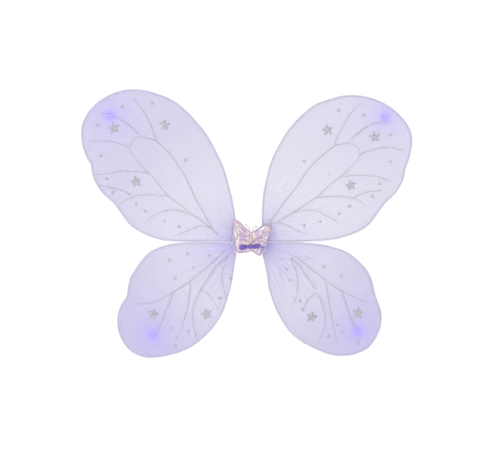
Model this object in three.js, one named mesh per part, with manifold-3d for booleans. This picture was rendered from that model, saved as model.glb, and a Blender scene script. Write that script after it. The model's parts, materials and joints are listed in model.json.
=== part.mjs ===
// Light-up fairy wings: four wire loops covered in sheer mesh, hinged on a small hub.
// Millimetres. +Z up, +X to the wearer's right, -Y out of the decorated face, +Y to the wearer's back.
// Origin: the middle of the flat back of the battery housing, level with the seam between the wings.
import * as THREE from 'three';
import { mergeVertices } from 'three/addons/utils/BufferGeometryUtils.js';
import Module from 'manifold-3d';

const wasm = await Module();
wasm.setup();

// ---- Driving dimensions ----------------------------------------------------
const GAP = 0.3;                  // clearance between pieces that only touch

const WING_REACH = 232;           // the widest wing, from its fold line to its tip
const WING_RISE = 229;            // the tallest wing, from the seam to its top

const WIRE_RADIUS = 1;            // 2 mm spring-steel frame wire
const HEM = 1.5;                  // mesh edge beyond the wire's centre
const MESH_THICKNESS = 0.4;       // each stretched mesh layer, with its hem
const LEAD_RADIUS = 0.45;         // clear two-core lead of a wing light
const LED_RADIUS = 1;             // rice-grain light between the mesh layers
const LED_LENGTH = 5;

const FERRULE_RADIUS = 2;         // crimp sleeve that closes the wire loop
const KNUCKLE_WALL = 1.25;        // hub material round each ferrule's bore
const UPPER_KNUCKLE = [6, 19];    // heights of the hub's upper knuckles
const LOWER_KNUCKLE = [-13, -5.5];
const SEAM_EDGE = 0.2;            // mesh edge along the seam between upper and lower wings
const ROOT_BEND = 2.5;            // bend radius where that leg turns into the knuckle
const MESH_CLEAR = 0.85;          // mesh and lead keep this far outside the knuckles

const HOUSING_TOP = 13.5;
const HOUSING_DEPTH = 8;
const HOUSING_WALL = 0.85;
const HOUSING_BACK = 1.4;
const BAY_FLOOR = 0.8;            // wall below the cells
const DIVIDER = [-1.5, 0.7];      // wall between the cells and the electronics

const CELL_RADIUS = 3.95;         // 7.9 x 3.6 mm button cells, in a row of three
const CELL_THICKNESS = 3.6;
const CELL_SEAT = 0.25;           // clearance below the cells
const SCREW_ROOM = 2.85;          // height above the cells for the door screw's boss
const CONTACT_THICKNESS = 0.35;

const SCREW_RADIUS = 1;
const SCREW_HEAD_RADIUS = 1.9;
const HUB_SCREW_HEIGHTS = { upper: 10, lower: -9.5 };
const EAR_WALL = 0.4;             // housing ear round a screw's head
const BARREL_WEB = 1.3;           // hub material between a screw and a knuckle's bore
const WIRE_SWING = 0.2;           // extra room for the wires beside the hub as the wings fold
const DOOR_SCREW_DROP = 2.2;      // door screw below the divider
const DOOR_SCREW_RADIUS = 0.8;
const DOOR_SCREW_HEAD_RADIUS = 1.4;

const KNOB_TRAVEL = 2.5;
const KNOB_SIZE = [3.2, 2.2];
const SWITCH_Z = 7;

const STRAP_WIDTH = 6;
const STRAP_THICKNESS = 1;
const STRAP_SLACK = 0.15;         // extra room where the strap goes round its bar
const LUG_BAR = 1;                // half height of the bar the strap goes round
const LUG_SLOT_TOP = 4.8;

const PAD_STANDOFF = 8;           // butterfly's felt back, forward of the wing plane
const FELT_THICKNESS = 1.5;
const PAD_THICKNESS = 5;
const PAD_ROLL = 1.5;              // rounding of the pad's edge
const ANTENNA_RADIUS = 0.6;

const ROOT_LED_RADIUS = 1.3;
const ROOT_LED_LENGTH = 4.2;
const LEAD_X = 9;                 // where each side's lead leaves the circuit board
const DOOR_SCREW_LENGTH = 4.2;

// ---- Places worked out from them ---------------------------------------------
const ROOT_WIRE_Z = SEAM_EDGE + HEM;   // height of the wire leg nearest the seam
const BORE_RADIUS = FERRULE_RADIUS + GAP;
const KNUCKLE_RADIUS = BORE_RADIUS + KNUCKLE_WALL;
const MESH_START = KNUCKLE_RADIUS + MESH_CLEAR;
const PLATE_SPLIT = GAP / 2;
const PLATE_BACK_Y = -HOUSING_DEPTH - GAP;
const WING_Y = PLATE_BACK_Y - KNUCKLE_RADIUS - PLATE_SPLIT;
const PLATE_FRONT_Y = WING_Y - KNUCKLE_RADIUS - PLATE_SPLIT;
const FELT_BACK_Y = WING_Y - PAD_STANDOFF;
const PAD_BACK_Y = FELT_BACK_Y - FELT_THICKNESS - GAP;
const TRIM_BACK_Y = PAD_BACK_Y - PAD_THICKNESS - GAP;
const CELL_PITCH = 2 * CELL_RADIUS + GAP;
const BAY_HALF_WIDTH = CELL_PITCH + CELL_RADIUS + GAP;
const HOUSING_HALF_WIDTH = BAY_HALF_WIDTH + HOUSING_WALL;
const BAY_BOTTOM = DIVIDER[0] - SCREW_ROOM - 2 * CELL_RADIUS - CELL_SEAT;
const HOUSING_BOTTOM = BAY_BOTTOM - BAY_FLOOR;
const CELL_Z = BAY_BOTTOM + CELL_SEAT + CELL_RADIUS;
const DOOR_SCREW = [CELL_PITCH / 2, DIVIDER[0] - DOOR_SCREW_DROP];
const HUB_SCREW_X = HOUSING_HALF_WIDTH + SCREW_HEAD_RADIUS + EAR_WALL;
const HUB_SCREWS = {
  upper: [HUB_SCREW_X, HUB_SCREW_HEIGHTS.upper], lower: [HUB_SCREW_X, HUB_SCREW_HEIGHTS.lower],
};
const HINGE_X = HUB_SCREW_X + SCREW_RADIUS + GAP + BARREL_WEB + BORE_RADIUS;  // each wing's fold line
const HUB_HALF_WIDTH = HINGE_X - WIRE_RADIUS - GAP - WIRE_SWING;
const ROOT_LED_X = HUB_HALF_WIDTH - GAP - ROOT_LED_LENGTH;
const STRAP_X = HOUSING_HALF_WIDTH + 2 * GAP + STRAP_WIDTH / 2;
const DOOR_BACK_Y = -0.2;
const DOOR_FRONT_Y = -HOUSING_BACK;
const CELL_BACK_Y = DOOR_FRONT_Y - GAP - CONTACT_THICKNESS - GAP;
const CELL_FRONT_Y = CELL_BACK_Y - CELL_THICKNESS;
const BOARD_BACK_Y = -HOUSING_DEPTH + 1.6;
const BOARD_THICKNESS = 1;
const LUG_BACK_Y = -3.6;
const LUG_FRONT_Y = LUG_BACK_Y - 2;
const BOARD_FRONT_Y = BOARD_BACK_Y - BOARD_THICKNESS;
const EAR_BACK_Y = -HOUSING_DEPTH + 1.2;
const SCREW_TIP_Y = PLATE_FRONT_Y + 1;
const LEAD_Z = 4;                 // height of the leads between the hub plates

// ---- Materials -------------------------------------------------------------------
const finish = (color, roughness, metalness = 0, extra = {}) => () =>
  new THREE.MeshStandardMaterial({ color, roughness, metalness, ...extra });
const sheerMesh = finish(0xdad7ec, 0.55, 0, { transparent: true, opacity: 0.55 });
const silverWire = finish(0xd4d3db, 0.35, 0.8);
const crimpMetal = finish(0xb9bac0, 0.4, 0.9);
const glowing = finish(0xbfb0ff, 0.2, 0, { emissive: 0x7f63ff });
const clearLead = finish(0xd0cfdd, 0.4);
const lilacPlastic = finish(0xcfc6ea, 0.45);
const boardGreen = finish(0x2f6b4f, 0.5);
const cellSteel = finish(0xc4c6ca, 0.25, 1);
const contactMetal = finish(0xc9b98a, 0.35, 1);
const screwSteel = finish(0xa9abb0, 0.35, 1);
const blackPlastic = finish(0x26242c, 0.5);
const violetFelt = finish(0xb9a2d6, 0.95);
const pearlFilm = finish(0xd8c0e4, 0.25, 0.1);
const violetSatin = finish(0x6a45b5, 0.35);
const whiteElastic = finish(0xebe8f2, 0.85);

// ---- Helpers -------------------------------------------------------------------
const wings = new THREE.Group();

function add(name, geometry, material) {
  const mesh = new THREE.Mesh(geometry, material());
  mesh.name = name;
  wings.add(mesh);
  return mesh;
}

// A curve that visits its knots at an even pace, so close knots make short steps.
class KnotPacedCurve extends THREE.CatmullRomCurve3 {
  getUtoTmapping(u) { return u; }
}

function polygon(points) {
  return new THREE.Shape(points.map(([x, y]) => new THREE.Vector2(x, y)));
}

function roundSection(radius, sides) {
  const turn = (2 * Math.PI) / sides;
  return polygon(Array.from({ length: sides },
    (_, i) => [radius * Math.cos(i * turn), radius * Math.sin(i * turn)]));
}

// A round bar along a route of [x, y, z] knots.
function tube(knots, radius, sides = 8, stepsPerKnot = 2) {
  const route = new KnotPacedCurve(knots.map((p) => new THREE.Vector3(...p)), false, 'centripetal');
  return new THREE.ExtrudeGeometry(roundSection(radius, sides), {
    steps: stepsPerKnot * (knots.length - 1), extrudePath: route, bevelEnabled: false,
  });
}

// A plate whose outline is drawn in X and Z, from backY forward by its thickness.
function plate(shape, backY, thickness, options = {}) {
  return new THREE.ExtrudeGeometry(shape, { depth: thickness, bevelEnabled: false, ...options })
    .rotateX(Math.PI / 2).translate(0, backY, 0);
}

function box([x0, x1], [y0, y1], [z0, z1]) {
  return new THREE.BoxGeometry(x1 - x0, y1 - y0, z1 - z0)
    .translate((x0 + x1) / 2, (y0 + y1) / 2, (z0 + z1) / 2);
}

function discAlongY([x, z], radius, [y0, y1], sides = 12) {
  return new THREE.CylinderGeometry(radius, radius, y1 - y0, sides).translate(x, (y0 + y1) / 2, z);
}

function postAlongZ(x, y, radius, [z0, z1], sides = 16) {
  return new THREE.CylinderGeometry(radius, radius, z1 - z0, sides)
    .rotateX(Math.PI / 2).translate(x, y, (z0 + z1) / 2);
}

function solid(geometry) {
  const bare = geometry.clone();
  bare.deleteAttribute('normal');
  bare.deleteAttribute('uv');
  const merged = mergeVertices(bare, 1e-4);
  return new wasm.Manifold(new wasm.Mesh({
    numProp: 3,
    vertProperties: new Float32Array(merged.attributes.position.array),
    triVerts: new Uint32Array(merged.index.array),
  }));
}

function toGeometry(body) {
  const { vertProperties, triVerts } = body.getMesh();
  const geometry = new THREE.BufferGeometry();
  geometry.setAttribute('position', new THREE.BufferAttribute(vertProperties, 3));
  geometry.setIndex(new THREE.BufferAttribute(triVerts, 1));
  geometry.computeVertexNormals();
  return geometry;
}

function carve(base, { joins = [], cuts = [] }) {
  let body = solid(base);
  for (const piece of joins) body = body.add(solid(piece));
  for (const piece of cuts) body = body.subtract(solid(piece));
  return toGeometry(body);
}

// Points of an open smooth curve through [x, z] knots.
function smoothLine(knots, stepsPerKnot) {
  const curve = new THREE.CatmullRomCurve3(
    knots.map(([x, z]) => new THREE.Vector3(x, z, 0)), false, 'centripetal');
  return curve.getPoints(stepsPerKnot * (knots.length - 1)).map((p) => [p.x, p.y]);
}

// Knots moved by a distance towards the right of the line's direction.
function offsetLine(knots, distance) {
  return knots.map(([x, z], i) => {
    const [ax, az] = knots[Math.max(i - 1, 0)];
    const [bx, bz] = knots[Math.min(i + 1, knots.length - 1)];
    const length = Math.hypot(bx - ax, bz - az);
    return [x + (distance * (bz - az)) / length, z - (distance * (bx - ax)) / length];
  });
}

const inWingPlane = ([x, z]) => [x, WING_Y, z];

// ---- Wings -----------------------------------------------------------------------
// Each edge runs from the wing's inner side, round its tip, to the leg near the seam. The knots are
// drawn for these sizes. Beyond the knuckles they follow the driving reach and rise.
const DRAWN = { hinge: 20.5, start: 4.4, reach: 232, rise: 229 };
const WINGS = {
  upper_left: {
    side: -1, rise: 1, knuckle: UPPER_KNUCKLE,
    edge: [[-21, 39.5], [-25, 63.5], [-31, 87.5], [-38, 111.5], [-49, 135.5], [-62, 159.5],
      [-81, 183.5], [-99, 201.5], [-116, 214], [-138, 223], [-163, 229], [-191, 228], [-218, 217],
      [-240, 198], [-252, 172], [-250, 142], [-243, 124], [-238, 116], [-237, 107], [-233, 93],
      [-221, 74], [-205, 59], [-198.5, 51], [-192.5, 43], [-179, 25], [-160, 13], [-140, 5], [-122, 1.6]],
    lead: [[-25, 5.2], [-35, 7], [-48, 11], [-57, 23], [-72, 50], [-81, 65], [-91, 88], [-102.5, 109],
      [-114, 126], [-127, 141], [-139, 151], [-152, 155.5], [-166, 161], [-177, 172], [-192.5, 183],
      [-206, 189]],
  },
  upper_right: {
    side: 1, rise: 1, knuckle: UPPER_KNUCKLE,
    edge: [[18.4, 36], [19, 51.5], [21, 75.5], [26, 99.5], [33, 123.5], [45, 147.5], [60, 171.5],
      [83, 195], [100, 207.6], [121, 215], [143, 220.4], [167, 220], [191, 214], [213, 202],
      [232, 184], [244, 161], [242.6, 135], [238, 119], [235, 111.5], [233.5, 103], [230, 90.5],
      [219, 72.5], [204.5, 58.5], [199.5, 52], [193, 43], [180.5, 26.6], [163, 15], [133, 5],
      [106, 1.6]],
    lead: [[25, 5.2], [27, 15], [33, 31], [49, 55], [70, 82], [87.5, 108], [105, 126], [128, 144],
      [139, 147.5], [149, 151], [156, 157], [164, 164], [177.5, 174], [192, 180], [202, 186]],
  },
  lower_left: {
    side: -1, rise: -1, knuckle: LOWER_KNUCKLE,
    edge: [[-19.6, -20.5], [-21.6, -32.5], [-25, -56.5], [-31, -80.5], [-39, -104.5], [-54, -128.5],
      [-79, -152.5], [-99, -163.5], [-116, -169], [-135, -173], [-157, -173.3], [-177, -164.6],
      [-191, -148], [-198, -127], [-197, -105.6], [-191, -91], [-185, -82.5], [-183.6, -76],
      [-179.4, -54], [-171, -40], [-161, -26], [-149, -14], [-131, -6], [-113, -1.6]],
    lead: [[-25, -5.2], [-30, -8], [-37, -13], [-54, -29], [-71, -44], [-88.5, -58], [-102, -67.5],
      [-114.5, -77], [-121, -91], [-127.5, -109], [-134, -125], [-143, -136]],
  },
  lower_right: {
    side: 1, rise: -1, knuckle: LOWER_KNUCKLE,
    edge: [[20, -20.5], [22.5, -32.5], [27, -56.5], [28.4, -68.5], [32, -80.5], [36, -92.5],
      [41, -104.5], [55, -128.5], [66, -140.5], [82.5, -152.5], [105.5, -163.5], [122, -169.5],
      [141, -171], [160.5, -168], [178.5, -159], [191, -142.5], [198, -124], [198, -104.5],
      [193.5, -90], [190, -81], [187.5, -71], [183.5, -55], [176, -41], [165, -29], [151, -17],
      [133, -9], [106, -2.6]],
    lead: [[25, -5.2], [40, -9.5], [69, -22], [87, -35], [104, -49], [119, -61], [135, -72],
      [143, -86], [149, -103], [155, -120], [161.5, -131]],
  },
};

function buildWing(name, { side, rise, knuckle, edge: drawnEdge, lead: drawnLead }) {
  const hinge = side * HINGE_X;
  const [low, high] = knuckle;
  const outerEnd = rise > 0 ? high : low;
  const innerEnd = rise > 0 ? low : high;
  const middle = (low + high) / 2;
  const wider = (WING_REACH - MESH_START) / (DRAWN.reach - DRAWN.start);
  const taller = (WING_RISE - UPPER_KNUCKLE[1]) / (DRAWN.rise - UPPER_KNUCKLE[1]);
  const placed = ([x, z]) => {
    const out = side * x - DRAWN.hinge;
    const beyond = out > DRAWN.start ? MESH_START + (out - DRAWN.start) * wider : out;
    return [hinge + side * beyond, Math.abs(z) > Math.abs(outerEnd) ? outerEnd + (z - outerEnd) * taller : z];
  };
  const edge = drawnEdge.map(placed);
  const lead = drawnLead.map(placed);

  // Frame wire: up the fold line, round the edge just inside the hem, back along the seam.
  const inwards = side * rise * HEM;
  const leg = rise * ROOT_WIRE_Z;
  const wireLine = [
    [hinge, middle + rise * GAP],
    [hinge, outerEnd - rise],
    [hinge, outerEnd + rise * 0.5],
    [hinge, outerEnd + rise * 2.5],
    ...offsetLine(edge, inwards),
    [side * 70, leg], [side * 40, leg], [hinge + side * 2 * ROOT_BEND, leg],
    [hinge + side * ROOT_BEND, leg], [hinge + side * 0.3 * ROOT_BEND, leg + rise * 0.3 * ROOT_BEND],
    [hinge, leg + rise * ROOT_BEND], [hinge, leg + rise * 1.25 * ROOT_BEND], [hinge, innerEnd + rise * 1.5],
    [hinge, middle - rise * GAP],
  ];
  add(`frame_wire_${name}`, tube(wireLine.map(inWingPlane), WIRE_RADIUS, 6, 2), silverWire);

  // Crimp sleeve on the fold line, where the two ends of the wire meet.
  const bore = WIRE_RADIUS + GAP;
  const length = high - low - 2 * GAP;
  const wall = [[bore, 0], [FERRULE_RADIUS, 0], [FERRULE_RADIUS, length], [bore, length], [bore, 0]];
  add(`wire_ferrule_${name}`, new THREE.LatheGeometry(wall.map((p) => new THREE.Vector2(...p)), 14)
    .rotateX(Math.PI / 2).translate(hinge, WING_Y, low + GAP), crimpMetal);

  // Two mesh layers, one on each side of the wire, cut back round the knuckle.
  const meshX = hinge + side * MESH_START;
  const clear = outerEnd + rise * 1.2;
  const outline = [
    [meshX, rise * SEAM_EDGE], [meshX, clear], [hinge + side * 1.6, clear + rise * 1.2],
    [hinge - side * 0.6, clear + rise * 3],
    ...smoothLine(edge, 2),
    [side * 70, rise * SEAM_EDGE],
  ];
  const layerInner = WIRE_RADIUS + GAP;
  add(`mesh_front_${name}`, plate(polygon(outline), WING_Y - layerInner, MESH_THICKNESS), sheerMesh);
  add(`mesh_back_${name}`,
    plate(polygon(outline), WING_Y + layerInner + MESH_THICKNESS, MESH_THICKNESS), sheerMesh);

  // Wing light and its lead, between the layers.
  add(`led_lead_${name}`, tube(lead.map(inWingPlane), LEAD_RADIUS, 6, 1), clearLead);
  const [bx, bz] = lead[lead.length - 1];
  const [ax, az] = lead[lead.length - 2];
  const heading = Math.atan2(bz - az, bx - ax);
  add(`led_${name}`, bulb(LED_RADIUS, LED_LENGTH)
    .rotateZ(-Math.PI / 2).translate(GAP, 0, 0).rotateY(-heading).translate(bx, WING_Y, bz), glowing);
}

// A round-nosed light, standing on its base along +Y.
function bulb(radius, length) {
  const profile = [[0, 0], [radius, 0], [radius, length - radius], [0.8 * radius, length - 0.4 * radius],
    [0, length]].map(([r, y]) => new THREE.Vector2(r, y));
  return new THREE.LatheGeometry(profile, 8);
}

for (const [name, wing] of Object.entries(WINGS)) buildWing(name, wing);

// ---- Hub ---------------------------------------------------------------------------
const BOTH_SIDES = { left: -1, right: 1 };
const onSide = (side, x0, x1) => (side > 0 ? [x0, x1] : [-x1, -x0]);

// One hub plate: a slab with ears that end in half barrels, round outside so the mesh swings past.
function hubPlate(depth, joins, extraCuts) {
  let body = solid(box([-HUB_HALF_WIDTH, HUB_HALF_WIDTH], depth, [LOWER_KNUCKLE[0], HOUSING_TOP]));
  const groove = LEAD_RADIUS + GAP;
  const pocket = ROOT_LED_RADIUS + GAP;
  const cuts = [...extraCuts];
  for (const side of Object.values(BOTH_SIDES)) {
    for (const [z0, z1] of [UPPER_KNUCKLE, LOWER_KNUCKLE]) {
      const barrel = solid(postAlongZ(side * HINGE_X, WING_Y, KNUCKLE_RADIUS, [z0, z1]));
      body = body.add(barrel.intersect(solid(box([-40, 40], depth, [z0, z1]))));
      body = body.add(solid(box(onSide(side, HUB_SCREWS.upper[0] - 2, HINGE_X), depth, [z0, z1])));
      cuts.push(postAlongZ(side * HINGE_X, WING_Y, BORE_RADIUS, [z0 - 1, z1 + 1]));
    }
    cuts.push(box(onSide(side, ROOT_LED_X - GAP, HINGE_X), [WING_Y - pocket, WING_Y + pocket],
      [-pocket, pocket]));
    cuts.push(box(onSide(side, LEAD_X - groove, HINGE_X), [WING_Y - groove, WING_Y + groove],
      [LEAD_Z - groove, LEAD_Z + groove]));
    for (const [x, z] of Object.values(HUB_SCREWS)) {
      cuts.push(discAlongY([side * x, z], SCREW_RADIUS + GAP, [SCREW_TIP_Y - GAP, 0]));
    }
  }
  for (const piece of joins) body = body.add(solid(piece));
  for (const piece of cuts) body = body.subtract(solid(piece));
  return toGeometry(body);
}

const leadHoles = Object.values(BOTH_SIDES).map((side) =>
  discAlongY([side * LEAD_X, LEAD_Z], LEAD_RADIUS + GAP, [WING_Y, 0], 8));
const contactPad = box([-BAY_HALF_WIDTH + GAP, BAY_HALF_WIDTH - GAP],
  [PLATE_BACK_Y - 1, CELL_FRONT_Y - GAP - CONTACT_THICKNESS - GAP], [BAY_BOTTOM + GAP, CELL_Z + 3]);
const padBoss = box([-11, 11], [FELT_BACK_Y + GAP, PLATE_FRONT_Y + 1], [-9, 10]);
add('hub_back_plate', hubPlate([WING_Y + PLATE_SPLIT, PLATE_BACK_Y], [contactPad], leadHoles), lilacPlastic);
add('hub_front_plate', hubPlate([PLATE_FRONT_Y, WING_Y - PLATE_SPLIT], [padBoss], []), lilacPlastic);

// A screw standing on its tip along +Y, with a domed head.
function screw(radius, headRadius, headHeight, shankLength) {
  const head = shankLength + headHeight;
  const profile = [[0, 0], [radius, 0.8], [radius, shankLength], [headRadius, shankLength],
    [headRadius, shankLength + 0.5 * headHeight], [0.6 * headRadius, head], [0, head]];
  return new THREE.LatheGeometry(profile.map((p) => new THREE.Vector2(...p)), 10);
}

for (const [sideName, side] of Object.entries(BOTH_SIDES)) {
  add(`root_led_${sideName}`, bulb(ROOT_LED_RADIUS, ROOT_LED_LENGTH)
    .rotateZ((-side * Math.PI) / 2).translate(side * ROOT_LED_X, WING_Y, 0), glowing);
  add(`hub_lead_${sideName}`, tube([[LEAD_X, BOARD_FRONT_Y - GAP, LEAD_Z], [LEAD_X, WING_Y + 2, LEAD_Z],
    [LEAD_X + 0.3, WING_Y + 0.5, LEAD_Z], [LEAD_X + 2, WING_Y, LEAD_Z], [HUB_HALF_WIDTH, WING_Y, LEAD_Z]]
    .map(([x, y, z]) => [side * x, y, z]), LEAD_RADIUS, 6, 2), clearLead);
  for (const [row, [x, z]] of Object.entries(HUB_SCREWS)) {
    add(`hub_screw_${row}_${sideName}`, screw(SCREW_RADIUS, SCREW_HEAD_RADIUS, 1.3,
      EAR_BACK_Y + GAP - SCREW_TIP_Y).translate(side * x, SCREW_TIP_Y, z), screwSteel);
  }
}

// ---- Battery and switch housing ------------------------------------------------------------
function roundedRectangle([x0, x1], [z0, z1], radius) {
  const shape = new THREE.Shape();
  shape.absarc(x1 - radius, z1 - radius, radius, 0, Math.PI / 2);
  shape.absarc(x0 + radius, z1 - radius, radius, Math.PI / 2, Math.PI);
  shape.absarc(x0 + radius, z0 + radius, radius, Math.PI, 1.5 * Math.PI);
  shape.absarc(x1 - radius, z0 + radius, radius, 1.5 * Math.PI, 2 * Math.PI);
  return shape;
}

const knobSlot = [KNOB_TRAVEL / 2 + KNOB_SIZE[0] / 2 + GAP, KNOB_SIZE[1] / 2 + GAP];
const [doorScrewX, doorScrewZ] = DOOR_SCREW;
const bossRadius = DOOR_SCREW_RADIUS + 0.8;
const bossDepth = [CELL_FRONT_Y, DOOR_FRONT_Y - GAP];
const shell = plate(roundedRectangle([-HOUSING_HALF_WIDTH, HOUSING_HALF_WIDTH],
  [HOUSING_BOTTOM, HOUSING_TOP], 2), 0, HOUSING_DEPTH, { curveSegments: 3 });
const hollow = carve(shell, { cuts: [
  box([-BAY_HALF_WIDTH, BAY_HALF_WIDTH], [-HOUSING_DEPTH - 1, 1], [BAY_BOTTOM, DIVIDER[0]]),
  box([-BAY_HALF_WIDTH, BAY_HALF_WIDTH], [-HOUSING_DEPTH - 1, -HOUSING_BACK],
    [DIVIDER[1], HOUSING_TOP - HOUSING_WALL]),
  box([-knobSlot[0], knobSlot[0]], [-HOUSING_BACK - 1, 1], [SWITCH_Z - knobSlot[1], SWITCH_Z + knobSlot[1]]),
] });
const housingJoins = [
  discAlongY(DOOR_SCREW, bossRadius, bossDepth),
  box([doorScrewX - bossRadius, doorScrewX + bossRadius], bossDepth, [doorScrewZ, DIVIDER[0] + 0.5]),
];
const housingCuts = [discAlongY(DOOR_SCREW, DOOR_SCREW_RADIUS + GAP, [-HOUSING_DEPTH, 0])];
const earDepth = [-HOUSING_DEPTH, EAR_BACK_Y];
const slotEnds = [STRAP_X - STRAP_WIDTH / 2 - GAP, STRAP_X + STRAP_WIDTH / 2 + GAP];
for (const side of Object.values(BOTH_SIDES)) {
  housingJoins.push(box(onSide(side, BAY_HALF_WIDTH, slotEnds[1] + 1), [LUG_FRONT_Y, LUG_BACK_Y], [-6, 6]));
  for (const [z0, z1] of [[LUG_BAR, LUG_SLOT_TOP], [-LUG_SLOT_TOP, -LUG_BAR]]) {
    housingCuts.push(box(onSide(side, ...slotEnds), [LUG_FRONT_Y - 1, LUG_BACK_Y + 1], [z0, z1]));
  }
  for (const [x, z] of Object.values(HUB_SCREWS)) {
    housingJoins.push(discAlongY([side * x, z], SCREW_HEAD_RADIUS + 0.4, earDepth));
    housingJoins.push(box(onSide(side, BAY_HALF_WIDTH, x), earDepth,
      [z - SCREW_HEAD_RADIUS, z + SCREW_HEAD_RADIUS]));
    housingCuts.push(discAlongY([side * x, z], SCREW_RADIUS + GAP, [-HOUSING_DEPTH - 1, 0]));
  }
}
add('rear_housing', carve(hollow, { joins: housingJoins, cuts: housingCuts }), lilacPlastic);

// ---- Electronics --------------------------------------------------------------------------------
add('circuit_board', box([-BAY_HALF_WIDTH + GAP, BAY_HALF_WIDTH - GAP], [BOARD_FRONT_Y, BOARD_BACK_Y],
  [DIVIDER[1] + GAP, HOUSING_TOP - HOUSING_WALL - GAP]), boardGreen);
const switchBack = -HOUSING_BACK - GAP;
const stemHalf = [1, 0.6];
const stemSlot = box([-KNOB_TRAVEL / 2 - stemHalf[0] - GAP, KNOB_TRAVEL / 2 + stemHalf[0] + GAP],
  [switchBack - 1.5, 0], [SWITCH_Z - stemHalf[1] - GAP, SWITCH_Z + stemHalf[1] + GAP]);
add('switch_body', carve(box([-4.6, 4.6], [BOARD_BACK_Y + GAP, switchBack], [SWITCH_Z - 2.2, SWITCH_Z + 2.2]),
  { cuts: [stemSlot] }), blackPlastic);
const knobX = -KNOB_TRAVEL / 2;
const knobCap = box([knobX - KNOB_SIZE[0] / 2, knobX + KNOB_SIZE[0] / 2], [switchBack + GAP, -GAP],
  [SWITCH_Z - KNOB_SIZE[1] / 2, SWITCH_Z + KNOB_SIZE[1] / 2]);
const knobStem = box([knobX - stemHalf[0], knobX + stemHalf[0]], [switchBack - 1.2, -2 * GAP],
  [SWITCH_Z - stemHalf[1], SWITCH_Z + stemHalf[1]]);
add('switch_knob', carve(knobCap, { joins: [knobStem] }), blackPlastic);

const CELL_PLACES = { left: -1, middle: 0, right: 1 };
for (const [place, step] of Object.entries(CELL_PLACES)) {
  add(`button_cell_${place}`, discAlongY([step * CELL_PITCH, CELL_Z], CELL_RADIUS,
    [CELL_FRONT_Y, CELL_BACK_Y], 20), cellSteel);
}
const contact = (x, backY) => box(x, [backY - CONTACT_THICKNESS, backY], [CELL_Z - 2, CELL_Z + 2]);
const frontContact = CELL_FRONT_Y - GAP;
const rearContact = CELL_BACK_Y + GAP + CONTACT_THICKNESS;
const reach = CELL_PITCH + 2;
add('contact_front_left', contact([-reach, -CELL_PITCH + 2], frontContact), contactMetal);
add('contact_front_link', contact([-2, reach], frontContact), contactMetal);
add('contact_rear_link', contact([-reach, 2], rearContact), contactMetal);
add('contact_rear_right', contact([CELL_PITCH - 2, reach], rearContact), contactMetal);

const countersinkY = DOOR_BACK_Y - 0.75;
add('battery_door', carve(box([-BAY_HALF_WIDTH + GAP, BAY_HALF_WIDTH - GAP], [DOOR_FRONT_Y, DOOR_BACK_Y],
  [BAY_BOTTOM + GAP, DIVIDER[0] - GAP]), {
  cuts: [discAlongY(DOOR_SCREW, DOOR_SCREW_RADIUS + GAP, [DOOR_FRONT_Y - 1, 1]),
    discAlongY(DOOR_SCREW, DOOR_SCREW_HEAD_RADIUS + GAP, [countersinkY, 1])],
}), lilacPlastic);
add('door_screw', screw(DOOR_SCREW_RADIUS, DOOR_SCREW_HEAD_RADIUS, 0.4, DOOR_SCREW_LENGTH)
  .translate(doorScrewX, countersinkY + GAP - DOOR_SCREW_LENGTH, doorScrewZ), screwSteel);

// ---- Shoulder straps ------------------------------------------------------------------------
// Each strap is a sewn elastic ring that goes round its lug's bar; knots are [y, z].
const STRAP_PASS = GAP + STRAP_SLACK + STRAP_THICKNESS / 2;
const STRAP_ROUTE = [[LUG_FRONT_Y - STRAP_PASS, 0], [LUG_FRONT_Y - STRAP_PASS + 0.2, 1.4],
  [LUG_FRONT_Y + 0.5, 2.8], [LUG_BACK_Y + 0.6, 3.4], [2, 4.8], [20, 8.6], [45, 11.6], [75, 11.8],
  [103, 8.6], [121, 3], [127, -3], [121, -9], [103, -13], [75, -14], [45, -12.6], [20, -9.2], [2, -4.9],
  [LUG_BACK_Y + 0.6, -3.4], [LUG_FRONT_Y + 0.5, -2.8], [LUG_FRONT_Y - STRAP_PASS + 0.2, -1.4]];

function strapRing() {
  const curve = new THREE.CatmullRomCurve3(
    STRAP_ROUTE.map(([y, z]) => new THREE.Vector3(y, z, 0)), true, 'centripetal');
  const count = 2 * STRAP_ROUTE.length;
  const edge = (offset) => Array.from({ length: count }, (_, i) => {
    const point = curve.getPoint(i / count);
    const along = curve.getTangent(i / count);
    return [point.x - along.y * offset, point.y + along.x * offset];
  });
  const turned = new THREE.Matrix4().makeBasis(new THREE.Vector3(0, 1, 0), new THREE.Vector3(0, 0, 1),
    new THREE.Vector3(1, 0, 0));
  const disc = (offset, width) => new THREE.ExtrudeGeometry(polygon(edge(offset)),
    { depth: width, bevelEnabled: false }).translate(0, 0, -width / 2).applyMatrix4(turned);
  const inside = disc(-STRAP_THICKNESS / 2, STRAP_WIDTH + 2);
  return carve(disc(STRAP_THICKNESS / 2, STRAP_WIDTH), { cuts: [inside] });
}

for (const [sideName, side] of Object.entries(BOTH_SIDES)) {
  add(`strap_${sideName}`, strapRing().translate(side * STRAP_X, 0, 0), whiteElastic);
}

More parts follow.
